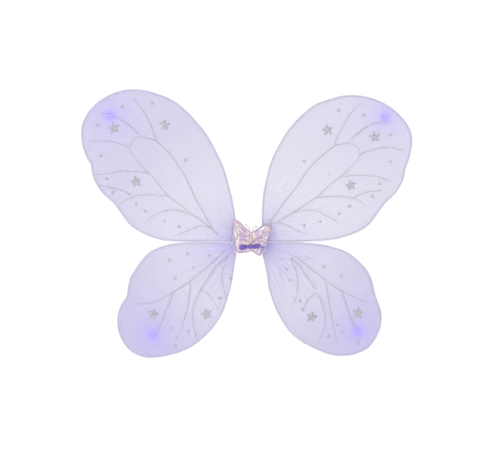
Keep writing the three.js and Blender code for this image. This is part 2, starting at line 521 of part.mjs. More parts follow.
// ---- Butterfly and bow --------------------------------------------------------------------------
const BUTTERFLY = [[3, 15.3], [-2, 18.7], [-7, 22.8], [-11, 27], [-15, 31], [-20, 34], [-24, 33],
  [-24.8, 28], [-25.5, 21], [-25, 15], [-23, 9], [-22, 2], [-23.2, -5], [-22.6, -10], [-20.5, -14],
  [-16, -16.5], [-9, -15.7], [-2, -15.3], [3, -13], [7.5, -16], [12, -19], [16, -20], [18.5, -17.5],
  [20.5, -12], [23, -8], [25, -4], [27, 0.6], [28, 5], [31, 10], [32.6, 15], [34.4, 21], [33.4, 25],
  [28, 26.5], [22, 26.6], [17.5, 23.6], [13, 20.4], [8, 17.6]];
const outline = polygon(BUTTERFLY);
add('butterfly_backing', plate(outline, FELT_BACK_Y, FELT_THICKNESS), violetFelt);
add('butterfly_pad', plate(outline, PAD_BACK_Y - PAD_ROLL, PAD_THICKNESS - 2 * PAD_ROLL,
  { bevelEnabled: true, bevelThickness: PAD_ROLL, bevelSize: PAD_ROLL, bevelOffset: -PAD_ROLL,
    bevelSegments: 2 }), pearlFilm);

// A rounded lump: a sphere squeezed to half sizes along X, Y and Z.
const lump = ([hx, hy, hz], x, z) =>
  new THREE.SphereGeometry(1, 12, 8).scale(hx, hy, hz).translate(x, TRIM_BACK_Y - hy, z);
add('butterfly_body', lump([2.2, 1.9, 8], 2, 5.4), pearlFilm);
const antennaY = PAD_BACK_Y - PAD_THICKNESS / 2;
const antenna = (knots) => tube(knots.map(([x, z]) => [x, antennaY, z]), ANTENNA_RADIUS, 8, 2);
add('antenna_left', antenna([[1, 17.4], [0.3, 20.4], [-1.2, 23], [-3.4, 24.6], [-5.2, 26.4]]), silverWire);
add('antenna_right', antenna([[5, 16.9], [5.7, 20.6], [7.2, 22.8], [10.6, 23.2]]), silverWire);

// The bow lies across the waist, below the body.
add('bow_knot', lump([3.6, 2.2, 3.2], 0.4, -6.4), violetSatin);
add('bow_loop_left', lump([5.6, 1.7, 3.9], -9.4, -7.2), violetSatin);
add('bow_loop_right', lump([5.9, 1.7, 3.7], 10.6, -5.8), violetSatin);
add('bow_tail_right', box([16.9, 22.6], [TRIM_BACK_Y - 0.6, TRIM_BACK_Y], [-8, -6.2]), violetSatin);

export default wings;
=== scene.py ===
# %% [markdown]
# # Light-up fairy wings
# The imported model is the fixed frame: hub, housing, wires and hinges all have their places there. This
# lesson dresses it, piece by piece, in sheer cloth, glitter, satin, pearly film and moulded plastic.
# Everything is in metres, with +Z up and -Y out of the decorated face.

# %% Load the frame
import json
import math
import random

import bmesh
import bpy
from mathutils import Matrix, Vector, kdtree, noise


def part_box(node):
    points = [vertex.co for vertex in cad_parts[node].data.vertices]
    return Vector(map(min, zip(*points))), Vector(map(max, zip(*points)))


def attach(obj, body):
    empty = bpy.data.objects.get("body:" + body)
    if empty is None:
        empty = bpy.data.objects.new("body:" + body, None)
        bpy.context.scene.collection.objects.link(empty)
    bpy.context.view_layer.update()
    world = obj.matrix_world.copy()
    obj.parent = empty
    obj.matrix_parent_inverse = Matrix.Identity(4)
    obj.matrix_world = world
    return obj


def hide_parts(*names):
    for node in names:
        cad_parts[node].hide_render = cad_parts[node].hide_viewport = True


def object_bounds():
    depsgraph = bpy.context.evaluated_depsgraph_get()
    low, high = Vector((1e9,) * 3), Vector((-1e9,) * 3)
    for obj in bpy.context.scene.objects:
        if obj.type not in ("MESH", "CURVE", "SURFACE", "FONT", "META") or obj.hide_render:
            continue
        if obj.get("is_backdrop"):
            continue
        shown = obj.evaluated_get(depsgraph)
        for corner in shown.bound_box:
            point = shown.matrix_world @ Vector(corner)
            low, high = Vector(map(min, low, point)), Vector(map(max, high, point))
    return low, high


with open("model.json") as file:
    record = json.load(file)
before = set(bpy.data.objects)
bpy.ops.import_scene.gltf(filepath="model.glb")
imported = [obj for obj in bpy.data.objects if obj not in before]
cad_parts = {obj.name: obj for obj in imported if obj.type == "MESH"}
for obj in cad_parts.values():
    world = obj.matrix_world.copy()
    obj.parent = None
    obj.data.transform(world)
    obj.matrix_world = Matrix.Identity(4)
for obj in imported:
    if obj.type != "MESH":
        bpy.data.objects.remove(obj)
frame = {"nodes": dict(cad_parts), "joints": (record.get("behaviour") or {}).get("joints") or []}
cad_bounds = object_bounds()
MM = 0.001
WINGS = {"upper_left": (-1, 1), "upper_right": (1, 1), "lower_left": (-1, -1), "lower_right": (1, -1)}
HINGES = {name: Vector(joint["pos_m"]) for name in WINGS for joint in frame["joints"]
          if joint["child"] == f"{name}_wing"}
WING_Y = HINGES["upper_left"].y
print("frame:", len(frame["nodes"]), "nodes; wing plane at y =", round(WING_Y / MM, 2), "mm")

# %% [markdown]
# ## Camera
# A product shot looks straight at the wings from far away, so a long lens keeps the outline true. The
# lens gives the field of view; the distance then follows from how much of the wing plane is to show.

# %% Camera
VIEW_WIDTH = 0.750
VIEW_CENTRE = Vector((0.001, WING_Y, 0.022))
LENS = 85.0
SENSOR = 36.0
camera_data = bpy.data.cameras.new("camera")
camera_data.lens = LENS
camera_data.sensor_width = SENSOR
camera = bpy.data.objects.new("camera", camera_data)
camera.location = VIEW_CENTRE - Vector((0, VIEW_WIDTH * LENS / SENSOR, 0))
camera.rotation_euler = (math.pi / 2, 0, 0)
bpy.context.scene.collection.objects.link(camera)
bpy.context.scene.camera = camera
print("camera stands", round((camera.location - VIEW_CENTRE).length, 3), "m away")

# %% [markdown]
# ## Studio
# The wings are shot on white. A white world gives even light from every side, one big soft lamp from the
# upper left gives the padded middle its shape, and a weaker lamp behind lets light through the cloth.
# The floor is a plain pale sheet, well below the wings.

# %% Studio light and floor
scene = bpy.context.scene
scene.view_settings.view_transform = "Standard"
world = bpy.data.worlds.new("studio")
scene.world = world
world.use_nodes = True
world.node_tree.nodes["Background"].inputs["Color"].default_value = (1.0, 1.0, 1.0, 1)
world.node_tree.nodes["Background"].inputs["Strength"].default_value = 1.02


def soft_lamp(name, place, aim, size, watts):
    data = bpy.data.lights.new(name, "AREA")
    data.size = size
    data.energy = watts
    lamp = bpy.data.objects.new(name, data)
    lamp.location = place
    lamp.rotation_euler = (Vector(aim) - Vector(place)).to_track_quat("-Z", "Y").to_euler()
    scene.collection.objects.link(lamp)
    return lamp


soft_lamp("key_lamp", (-0.9, -1.3, 1.1), (0, 0, 0), 0.7, 9)
soft_lamp("rim_lamp", (0.8, 1.2, 0.9), (0, 0, 0), 0.8, 5)

FLOOR_DROP = 0.25
FLOOR_REACH = 1.2
bm = bmesh.new()
bmesh.ops.create_grid(bm, x_segments=1, y_segments=1, size=FLOOR_REACH)
bmesh.ops.translate(bm, verts=bm.verts, vec=(0, 0, cad_bounds[0][2] - FLOOR_DROP))
floor_mesh = bpy.data.meshes.new("floor")
bm.to_mesh(floor_mesh)
floor = bpy.data.objects.new("floor", floor_mesh)
scene.collection.objects.link(floor)
floor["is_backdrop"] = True
floor_paint = bpy.data.materials.new("floor_paint")
floor_paint.use_nodes = True
floor_shader = floor_paint.node_tree.nodes["Principled BSDF"]
floor_shader.inputs["Base Color"].default_value = (0.95, 0.95, 0.95, 1)
floor_shader.inputs["Roughness"].default_value = 0.9
floor_shader.inputs["Emission Color"].default_value = (1, 1, 1, 1)
floor_shader.inputs["Emission Strength"].default_value = 0.35
floor_mesh.materials.append(floor_paint)
print("studio: two soft lamps, a white world and a pale floor")

# %% [markdown]
# ## Shader helpers
# A material is a small graph. `shade` makes one with its Principled shader and sets the sockets that are
# the same all over. `node` adds a node and wires or sets its inputs by name. Effects that several
# materials share, such as grain or weave, are node groups that give out plain values.

# %% Shader helpers


def node(tree, kind, inputs=None, **settings):
    made = tree.nodes.new(kind)
    for key, value in settings.items():
        setattr(made, key, value)
    for key, value in (inputs or {}).items():
        if isinstance(value, bpy.types.NodeSocket):
            tree.links.new(value, made.inputs[key])
        else:
            made.inputs[key].default_value = value
    return made


def shade(name, roughness=0.5, **sockets):
    material = bpy.data.materials.new(name)
    material.use_nodes = True
    shader = material.node_tree.nodes["Principled BSDF"]
    shader.inputs["Roughness"].default_value = roughness
    for key, value in sockets.items():
        shader.inputs[key.replace("_", " ")].default_value = value
    return material, material.node_tree, shader


def blend_colours(tree, mask, first, second):
    mixed = node(tree, "ShaderNodeMix", {0: mask}, data_type="RGBA")
    for slot_number, colour in ((6, first), (7, second)):
        if isinstance(colour, bpy.types.NodeSocket):
            tree.links.new(colour, mixed.inputs[slot_number])
        else:
            mixed.inputs[slot_number].default_value = (*colour, 1)
    return mixed.outputs[2]


def remap(tree, value, low, high, new_low, new_high):
    made = node(tree, "ShaderNodeMapRange", {"Value": value, "From Min": low, "From Max": high,
                                             "To Min": new_low, "To Max": new_high})
    return made.outputs["Result"]


def relief(tree, shader, height, distance, strength=1.0):
    bump = node(tree, "ShaderNodeBump", {"Height": height, "Distance": distance, "Strength": strength})
    tree.links.new(bump.outputs["Normal"], shader.inputs["Normal"])


def effect(name, inputs, outputs):
    group = bpy.data.node_groups.new(name, "ShaderNodeTree")
    for label, default in inputs.items():
        socket = group.interface.new_socket(label, in_out="INPUT", socket_type="NodeSocketFloat")
        socket.default_value = default
    for label in outputs:
        group.interface.new_socket(label, in_out="OUTPUT", socket_type="NodeSocketFloat")
    return group, node(group, "NodeGroupInput"), node(group, "NodeGroupOutput")


def use(tree, group, **values):
    made = node(tree, "ShaderNodeGroup", node_tree=group)
    for key, value in values.items():
        made.inputs[key.replace("_", " ")].default_value = value
    return made


def texture(tree, group, **values):
    """The first output of a shared effect, set to these values."""
    return use(tree, group, **values).outputs[0]


def maths(tree, operation, first, second=0.5, clamp=False):
    made = node(tree, "ShaderNodeMath", {0: first, 1: second}, operation=operation, use_clamp=clamp)
    return made.outputs[0]


def paint(tree, shader, mask, first, second, socket="Base Color"):
    """Two colours, blended by a mask, go into a colour socket of the shader."""
    tree.links.new(blend_colours(tree, mask, first, second), shader.inputs[socket])


def roughen(tree, shader, value, low, high, smoothest, roughest):
    tree.links.new(remap(tree, value, low, high, smoothest, roughest), shader.inputs["Roughness"])


def place_of(tree):
    return node(tree, "ShaderNodeTexCoord").outputs["Object"]


print("shader helpers ready")

# %% [markdown]
# ## Shared effects
# **Grain** is fine moulded or brushed texture, **mottle** is slow cloudiness, **net** is the criss-cross of
# sheer nylon yarns, and **edge wear** finds convex edges, where handling rubs a surface lighter.

# %% Shared effects
grain, grain_in, grain_out = effect("Grain", {"Scale": 900.0, "Detail": 3.0}, ["Height"])
grain_noise = node(grain, "ShaderNodeTexNoise", {"Vector": place_of(grain), "Roughness": 0.6})
grain.links.new(grain_in.outputs["Scale"], grain_noise.inputs["Scale"])
grain.links.new(grain_in.outputs["Detail"], grain_noise.inputs["Detail"])
grain.links.new(grain_noise.outputs["Fac"], grain_out.inputs["Height"])

mottle, mottle_in, mottle_out = effect("Mottle", {"Scale": 40.0, "Contrast": 1.0}, ["Mask"])
mottle_noise = node(mottle, "ShaderNodeTexNoise", {"Vector": place_of(mottle), "Detail": 2.0})
mottle.links.new(mottle_in.outputs["Scale"], mottle_noise.inputs["Scale"])
mottle_shift = maths(mottle, "SUBTRACT", mottle_noise.outputs["Fac"])
mottle_gain = maths(mottle, "MULTIPLY", mottle_shift, mottle_in.outputs["Contrast"])
mottle.links.new(maths(mottle, "ADD", mottle_gain, clamp=True), mottle_out.inputs["Mask"])

net, net_in, net_out = effect("Net", {"Yarns per metre": 1400.0}, ["Height", "Cover"])
net_place = node(net, "ShaderNodeVectorMath", {0: place_of(net)}, operation="SCALE")
net.links.new(net_in.outputs["Yarns per metre"], net_place.inputs["Scale"])
yarns = []
for turn in (math.radians(8), math.radians(-82)):
    turned = node(net, "ShaderNodeVectorRotate", {"Vector": net_place.outputs[0], "Angle": turn},
                  rotation_type="Y_AXIS")
    along = node(net, "ShaderNodeSeparateXYZ", {0: turned.outputs[0]})
    yarns.append(maths(net, "MULTIPLY", maths(net, "PINGPONG", along.outputs["X"]), 2.0))
net_top = maths(net, "MAXIMUM", *yarns)
net.links.new(net_top, net_out.inputs["Height"])
net.links.new(remap(net, net_top, 0.35, 0.85, 0.0, 1.0), net_out.inputs["Cover"])

wear, wear_in, wear_out = effect("Edge wear", {"Start": 0.53, "End": 0.6}, ["Mask"])
wear_edge = node(wear, "ShaderNodeNewGeometry")
wear_range = node(wear, "ShaderNodeMapRange", {"Value": wear_edge.outputs["Pointiness"],
                                               "From Min": wear_in.outputs["Start"],
                                               "From Max": wear_in.outputs["End"]})
wear_patch = node(wear, "ShaderNodeTexNoise", {"Vector": place_of(wear), "Scale": 300.0})
wear_mask = maths(wear, "MULTIPLY", wear_range.outputs[0], wear_patch.outputs["Fac"])
wear.links.new(wear_mask, wear_out.inputs["Mask"])
print("shared effects:", [group.name for group in bpy.data.node_groups])

# %% [markdown]
# ## Sheer nylon
# Each wing carries two layers of stretch nylon, so thin that the white behind shows through. The colour is
# lilac, with a violet glow round each light. The glow is an attribute on the cloth, so it stays in
# place, and gathered cloth near the root is denser because more yarns overlap there.

# %% Sheer mesh material
NET_LILAC = (0.635, 0.612, 0.735)
GLOW_VIOLET = (0.42, 0.34, 0.98)
LIGHT_VIOLET = (0.10, 0.06, 0.45)
GATHER_SHADE = (0.52, 0.475, 0.70)
GATHER_COVER = 0.22
GLOW_COVER = 0.2


def attribute(tree, name):
    return node(tree, "ShaderNodeAttribute", attribute_name=name).outputs["Fac"]


def sheer_cloth(name, cover):
    material, tree, shader = shade(name, 0.6, Sheen_Weight=0.25, Sheen_Roughness=0.4)
    glow = attribute(tree, "glow")
    gather = attribute(tree, "gather")
    clouds = texture(tree, mottle, Scale=18.0, Contrast=0.6)
    plain = blend_colours(tree, clouds, NET_LILAC, tuple(c * 0.97 for c in NET_LILAC))
    gathered = blend_colours(tree, gather, plain, GATHER_SHADE)
    paint(tree, shader, glow, gathered, GLOW_VIOLET)
    paint(tree, shader, maths(tree, "MULTIPLY", glow, glow), (0, 0, 0), LIGHT_VIOLET, "Emission Color")
    shader.inputs["Emission Strength"].default_value = 0.55
    yarn = use(tree, net, Yarns_per_metre=1500.0)
    relief(tree, shader, yarn.outputs["Height"], 0.00006, 0.5)
    thin = remap(tree, yarn.outputs["Cover"], 0.0, 1.0, cover - 0.05, cover + 0.05)
    denser = maths(tree, "MULTIPLY", gather, GATHER_COVER)
    both = maths(tree, "ADD", denser, maths(tree, "MULTIPLY", glow, GLOW_COVER))
    tree.links.new(maths(tree, "ADD", both, thin, clamp=True), shader.inputs["Alpha"])
    return material


stretch_nylon = sheer_cloth("stretch_nylon", 0.28)
hem_nylon = sheer_cloth("hem_nylon", 0.40)
print("cloth:", stretch_nylon.name, "and", hem_nylon.name)

# %% [markdown]
# ## Making pieces
# A finished piece sits at the origin, with its place in its mesh, and rides on one body of the frame.
# `finish_piece` does that for every piece, so no step is forgotten.

# %% Making pieces


def finish_piece(name, bm, body, materials, stands_for=(), smooth=True):
    mesh = bpy.data.meshes.new(name)
    bm.to_mesh(mesh)
    bm.free()
    piece = bpy.data.objects.new(name, mesh)
    scene.collection.objects.link(piece)
    for material in materials:
        mesh.materials.append(material)
    mesh.polygons.foreach_set("use_smooth", [smooth] * len(mesh.polygons))
    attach(piece, body)
    if stands_for:
        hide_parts(*stands_for)
    return piece


def thicken(piece, thickness, offset=-1):
    solidify = piece.modifiers.new("thickness", "SOLIDIFY")
    solidify.thickness = thickness
    solidify.offset = offset


def flat_shape(corners, facing):
    """A bmesh of one flat face that looks along y, forwards or backwards, and the face."""
    bm = bmesh.new()
    face = bm.faces.new([bm.verts.new(place) for place in corners])
    face.normal_update()
    if face.normal.y * facing < 0:
        face.normal_flip()
    return bm, face


def cut_grid(bm, start, spacing):
    """Cut a flat shape along x and z by planes an even distance apart."""
    for k in (0, 2):
        low = min(v.co[k] for v in bm.verts)
        high = max(v.co[k] for v in bm.verts)
        across = Vector((k == 0, 0, k == 2))
        step = low + start
        while step < high:
            bmesh.ops.bisect_plane(bm, geom=bm.verts[:] + bm.edges[:] + bm.faces[:], dist=1e-6,
                                   plane_co=across * step, plane_no=across)
            step += spacing


def search_tree(points):
    """A tree that finds the nearest of the points."""
    tree = kdtree.KDTree(len(points))
    for i, place in enumerate(points):
        tree.insert(place, i)
    tree.balance()
    return tree


def middle_and_half(node_name):
    """The middle of a frame node's box, and half its size."""
    low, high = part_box(node_name)
    return (low + high) / 2, (high - low) / 2


def smooth_line(points, steps, closed=False):
    """More points on a smooth line through the given ones."""
    count = len(points)
    finer = []
    for i in range(count if closed else count - 1):
        if closed:
            before, start, end, after = (points[(i + k) % count] for k in (-1, 0, 1, 2))
        else:
            before, start, end, after = (points[min(max(i + k, 0), count - 1)] for k in (-1, 0, 1, 2))
        for step in range(steps):
            t = step / steps
            finer.append(0.5 * (2 * start + (end - before) * t
                                + (2 * before - 5 * start + 4 * end - after) * t ** 2
                                + (3 * (start - end) + after - before) * t ** 3))
    if not closed:
        finer.append(points[-1].copy())
    return finer


def even_line(points, spacing):
    """The same line with points an even distance apart."""
    lengths = [(b - a).length for a, b in zip(points, points[1:])]
    total = sum(lengths)
    count = max(2, round(total / spacing))
    even = [points[0].copy()]
    walked, i = 0.0, 0
    for k in range(1, count):
        target = total * k / count
        while walked + lengths[i] < target:
            walked += lengths[i]
            i += 1
        even.append(points[i].lerp(points[i + 1], (target - walked) / lengths[i]))
    even.append(points[-1].copy())
    return even


def swept_mesh(routes, radius, sides=8, closed=False, taper=None):
    """A bmesh of round bars along the routes, made by a bevelled curve."""
    curve = bpy.data.curves.new("sweep", "CURVE")
    curve.dimensions = "3D"
    curve.bevel_depth = radius
    curve.bevel_resolution = max(0, sides // 2 - 2)
    curve.use_fill_caps = not closed
    for route in routes:
        spline = curve.splines.new("POLY")
        spline.points.add(len(route) - 1)
        spline.use_cyclic_u = closed
        for i, place in enumerate(route):
            spline.points[i].co = (*place, 1)
            spline.points[i].radius = taper(i / (len(route) - 1)) if taper else 1.0
    holder = bpy.data.objects.new("sweep", curve)
    scene.collection.objects.link(holder)
    bpy.context.view_layer.update()
    mesh = bpy.data.meshes.new_from_object(holder.evaluated_get(bpy.context.evaluated_depsgraph_get()))
    bm = bmesh.new()
    bm.from_mesh(mesh)
    bpy.data.objects.remove(holder)
    bpy.data.curves.remove(curve)
    bpy.data.meshes.remove(mesh)
    bmesh.ops.remove_doubles(bm, verts=bm.verts, dist=1e-7)
    bmesh.ops.recalc_face_normals(bm, faces=bm.faces)
    return bm


print("piece helpers ready")

# %% [markdown]
# ## Reading a bar's centre line
# The wires, leads and antennae are bars in the frame: rings of points, one after another, between two
# flat ends. Starting from one end, each next ring is the set of neighbours not yet visited, and its
# average is a point on the centre line. Cloth, hems and leads can then follow the real wire.

# %% Centre lines from the frame


def cad_copy(name):
    bm = bmesh.new()
    bm.from_mesh(frame["nodes"][name].data)
    bmesh.ops.remove_doubles(bm, verts=bm.verts, dist=2e-6)
    bm.normal_update()
    return bm


def end_ring(bm, sides):
    """The points of a flat round end: all in one plane, all as far from their middle."""
    for first in bm.faces:
        patch = {first}
        rim = [first]
        while rim:
            face = rim.pop()
            for edge in face.edges:
                for other in edge.link_faces:
                    if other not in patch and other.normal.dot(first.normal) > 0.9995:
                        patch.add(other)
                        rim.append(other)
        ring = {v for face in patch for v in face.verts}
        if len(ring) != sides:
            continue
        middle = sum((v.co for v in ring), Vector()) / sides
        reach = [(v.co - middle).length for v in ring]
        if max(reach) < 1.03 * min(reach):
            return ring
    return None


def centre_line(name, sides=6):
    bm = cad_copy(name)
    ring = end_ring(bm, sides)
    seen = set(ring)
    line = []
    while ring:
        line.append(sum((v.co for v in ring), Vector()) / len(ring))
        ring = {edge.other_vert(v) for v in ring for edge in v.link_edges} - seen
        seen |= ring
    bm.free()
    return line


wire_lines = {wing: centre_line(f"frame_wire_{wing}") for wing in WINGS}
lead_lines = {wing: centre_line(f"led_lead_{wing}") for wing in WINGS}
print("wire rings:", {wing: len(line) for wing, line in wire_lines.items()})
print("lead rings:", {wing: len(line) for wing, line in lead_lines.items()})

# %% [markdown]
# ## The shape of a wing
# The nylon is pulled tight over the wire loop, so each layer leaves the wire on its own side and then lies
# close to the other, with only the lead of the wing light between them. At the root the cloth is bunched
# into pleats that fan out and die away. One function gives a layer's height over the wing plane at any
# place, and everything on the cloth is set on it.

# %% Wing outlines
ROOT_CLEAR = 4.4 * MM
KNUCKLE_CLEAR = 3.0 * MM
WIRE_SPACING = 2.5 * MM
HEM_RADIUS = 1.45 * MM


def outside_knuckle(wing, place):
    beside = abs(place.x - HINGES[wing].x) < ROOT_CLEAR
    return not (beside and abs(place.z) < abs(knuckle_end[wing]) + KNUCKLE_CLEAR)


knuckle_end = {}
rims = {}
for wing, (_, rise) in WINGS.items():
    low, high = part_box(f"wire_ferrule_{wing}")
    knuckle_end[wing] = high.z if rise > 0 else low.z
    finer = even_line(smooth_line(wire_lines[wing], 3), WIRE_SPACING)
    rims[wing] = [place for place in finer if outside_knuckle(wing, place)]
print("rim points:", {wing: len(rim) for wing, rim in rims.items()})

# %% Height of the cloth
CLOSE_HEIGHT = 0.66 * MM
PLEAT_SPREAD = {1: 22 * MM, -1: 34 * MM}
PLEAT_HEIGHT = {1: 0.5 * MM, -1: 1.2 * MM}
PLEATS_PER_TURN = 42
PLEAT_START = 10 * MM
PLEAT_TO_RIM = 4 * MM
HEM_RAMP = 7 * MM
LIGHT_SWELL = 0.7 * MM
LIGHT_REACH = 6 * MM
light_places = {wing: sum(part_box(f"led_{wing}"), Vector()) / 2 for wing in WINGS}
rim_trees = {wing: search_tree(rim) for wing, rim in rims.items()}


def pleat_wave(wing, x, z):
    """A wave from 0 to 1 across the pleats, and how strong they are here."""
    side, rise = WINGS[wing]
    hinge = HINGES[wing]
    away_x, away_z = side * (x - hinge.x), rise * (z - hinge.z)
    reach = math.hypot(away_x, away_z)
    angle = math.atan2(away_z, away_x)
    drift = noise.noise(Vector((reach * 30, angle * 2.5, side * 3 + rise)))
    wave = 0.5 + 0.5 * math.sin(PLEATS_PER_TURN * angle + 2.6 * drift)
    uneven = 0.55 + 0.45 * noise.noise(Vector((angle * 5, side * 7, rise * 2)))
    return wave, uneven * math.exp(-max(0.0, reach - PLEAT_START) / PLEAT_SPREAD[rise])


def cloth_height(wing, x, z):
    rise = WINGS[wing][1]
    place = Vector((x, WING_Y, z))
    to_rim = rim_trees[wing].find(place)[2]
    close = CLOSE_HEIGHT + (0.9 * HEM_RADIUS - CLOSE_HEIGHT) * math.exp(-to_rim / HEM_RAMP)
    wave, strength = pleat_wave(wing, x, z)
    pleat = PLEAT_HEIGHT[rise] * strength * wave ** 1.5 * (1 - math.exp(-to_rim / PLEAT_TO_RIM))
    to_light = (place - light_places[wing]).length
    swell = LIGHT_SWELL * math.exp(-(to_light / LIGHT_REACH) ** 2)
    return close + pleat + swell


def on_front(wing, x_mm, z_mm, above=0.0):
    """A place on the front layer, from a position in millimetres."""
    x, z = x_mm * MM, z_mm * MM
    return Vector((x, WING_Y - cloth_height(wing, x, z) - above, z))


print("cloth height at each light, mm:",
      {w: round(cloth_height(w, p.x, p.z) / MM, 2) for w, p in light_places.items()})

# %% [markdown]
# ## Cutting and stretching the nylon
# The flat panel is one face inside the wire's line. Cutting it with a grid of planes gives even quads, the
# part near the root is cut finer for its pleats, and then every point is lifted to the cloth's height.
# Solidify gives the layer the thickness of a real stocking.

# %% Nylon layers
CLOTH_GRID = 3.0 * MM
FINE_REACH = 48 * MM
CLOTH_THICKNESS = 0.12 * MM
ROOT_GLOW_REACH = 24 * MM
# Each wing's cloth is made denser and darker by a set amount, and more so away from the hinge, most on the
# lower wings.
EXTRA_GATHER = {"upper_left": 0.08, "upper_right": 0.0, "lower_left": 0.2, "lower_right": 0.22}
EXTRA_GATHER_FAR = {"upper_left": 0.3, "upper_right": 0.12, "lower_left": 0.42, "lower_right": 0.34}
FAR_START = 90 * MM
FAR_RUN = 90 * MM


def flat_panel(wing):
    side, rise = WINGS[wing]
    hinge = HINGES[wing]
    end = knuckle_end[wing]
    corners = [Vector((hinge.x + side * ROOT_CLEAR, WING_Y, end + rise * 1.2 * MM)),
               Vector((hinge.x + side * 1.6 * MM, WING_Y, end + rise * 2.4 * MM))]
    if abs(rims[wing][-1].z) > abs(rims[wing][0].z):
        corners.reverse()
    bm, panel = flat_shape(rims[wing] + corners, -1)
    area = panel.calc_area()
    size = [max(v.co[k] for v in bm.verts) - min(v.co[k] for v in bm.verts) for k in (0, 2)]
    cut_grid(bm, 0.6 * CLOTH_GRID, CLOTH_GRID)
    near = [edge for edge in bm.edges if (edge.verts[0].co - hinge).length < FINE_REACH
            and edge.calc_length() > 0.5 * CLOTH_GRID]
    bmesh.ops.subdivide_edges(bm, edges=near, cuts=2, use_grid_fill=True)
    return bm, area, size


SPOT, SPOT_REACH = 0.74, 6.0 * MM
HALO, HALO_REACH = 0.42, 24 * MM
ROOT_GLOW = {1: 0.38, -1: 0.46}


def glow_at(wing, place):
    """Violet light in the cloth: a bright spot at the wing light, a halo, and the glow of the root."""
    to_light = Vector((place.x - light_places[wing].x, 0, place.z - light_places[wing].z)).length
    hinge = HINGES[wing]
    to_root = math.hypot(0.75 * (place.x - hinge.x), 1.1 * place.z)
    spot = SPOT * math.exp(-(to_light / SPOT_REACH) ** 2)
    halo = HALO * math.exp(-to_light / HALO_REACH)
    root = ROOT_GLOW[WINGS[wing][1]] * math.exp(-to_root / ROOT_GLOW_REACH)
    return min(1.0, spot + halo + root)


def lift_layer(bm, wing, facing):
    glow = bm.verts.layers.float.new("glow")
    gather = bm.verts.layers.float.new("gather")
    for v in bm.verts:
        v[glow] = glow_at(wing, v.co)
        wave, strength = pleat_wave(wing, v.co.x, v.co.z)
        # denser and darker by a set amount per wing, and more towards the wing's far end
        far = ((v.co - HINGES[wing]).length - FAR_START) / FAR_RUN
        extra_gather = EXTRA_GATHER[wing] + EXTRA_GATHER_FAR[wing] * min(1.0, max(0.0, far))
        v[gather] = min(1.0, extra_gather + 1.3 * strength * (1 - wave) ** 1.5)
        v.co.y = WING_Y + facing * cloth_height(wing, v.co.x, v.co.z)


cuts = {}
for wing in WINGS:
    flat, area, size = flat_panel(wing)
    for layer, facing in (("front", -1), ("back", 1)):
        bm = flat.copy()
        if facing > 0:
            bmesh.ops.reverse_faces(bm, faces=bm.faces)
        lift_layer(bm, wing, facing)
        sheet = finish_piece(f"nylon_{layer}_{wing}", bm, f"{wing}_wing", [stretch_nylon],
                             [f"mesh_{layer}_{wing}"])
        thicken(sheet, CLOTH_THICKNESS)
        cuts[wing, layer] = (sheet, size, area)
        print(sheet.name, "area", round(area * 1e4), "cm2,", len(sheet.data.polygons), "faces")
    flat.free()

# %% [markdown]
# ## Hem
# The nylon's edge is rolled round the wire and stitched, which makes the thin, denser rim of each wing.
# It is a sleeve on the wire's own line, and its tone varies a little, as rolled cloth's does. Where an upper
# and a lower wing lie side by side, each sleeve is stretched a little towards the other.

# %% Hems
SEAM_WIRE = 1.7 * MM
SEAM_STRETCH = 1.14
SEAM_REACH = 4 * MM
SEAM_GLOW = 0.6
HEM_GLOW = 0.15
hems = {}
for wing in WINGS:
    rim = even_line(smooth_line(rims[wing], 2), 1.5 * MM)
    bm = swept_mesh([rim], HEM_RADIUS, sides=12)
    glow = bm.verts.layers.float.new("glow")
    gather = bm.verts.layers.float.new("gather")
    for v in bm.verts:
        v[glow] = (HEM_GLOW if abs(v.co.z) > SEAM_REACH else SEAM_GLOW) * glow_at(wing, v.co)
        v[gather] = 0.2 + 0.4 * noise.noise(v.co * 160)
        from_middle = SEAM_WIRE - abs(v.co.z)
        if from_middle > 0:
            v.co.z = math.copysign(SEAM_WIRE - SEAM_STRETCH * from_middle, v.co.z)
    hems[wing] = finish_piece(f"hem_{wing}", bm, f"{wing}_wing", [hem_nylon])
print("hems:", list(hems))

# %% [markdown]
# ## Gathers at the roots
# At the hub the nylon is bunched on the wire and fills the space up to the knuckle. The bunch is a small
# pleated sheet at the hinge, clear of the hub at every angle because it starts outside the knuckle's wall.

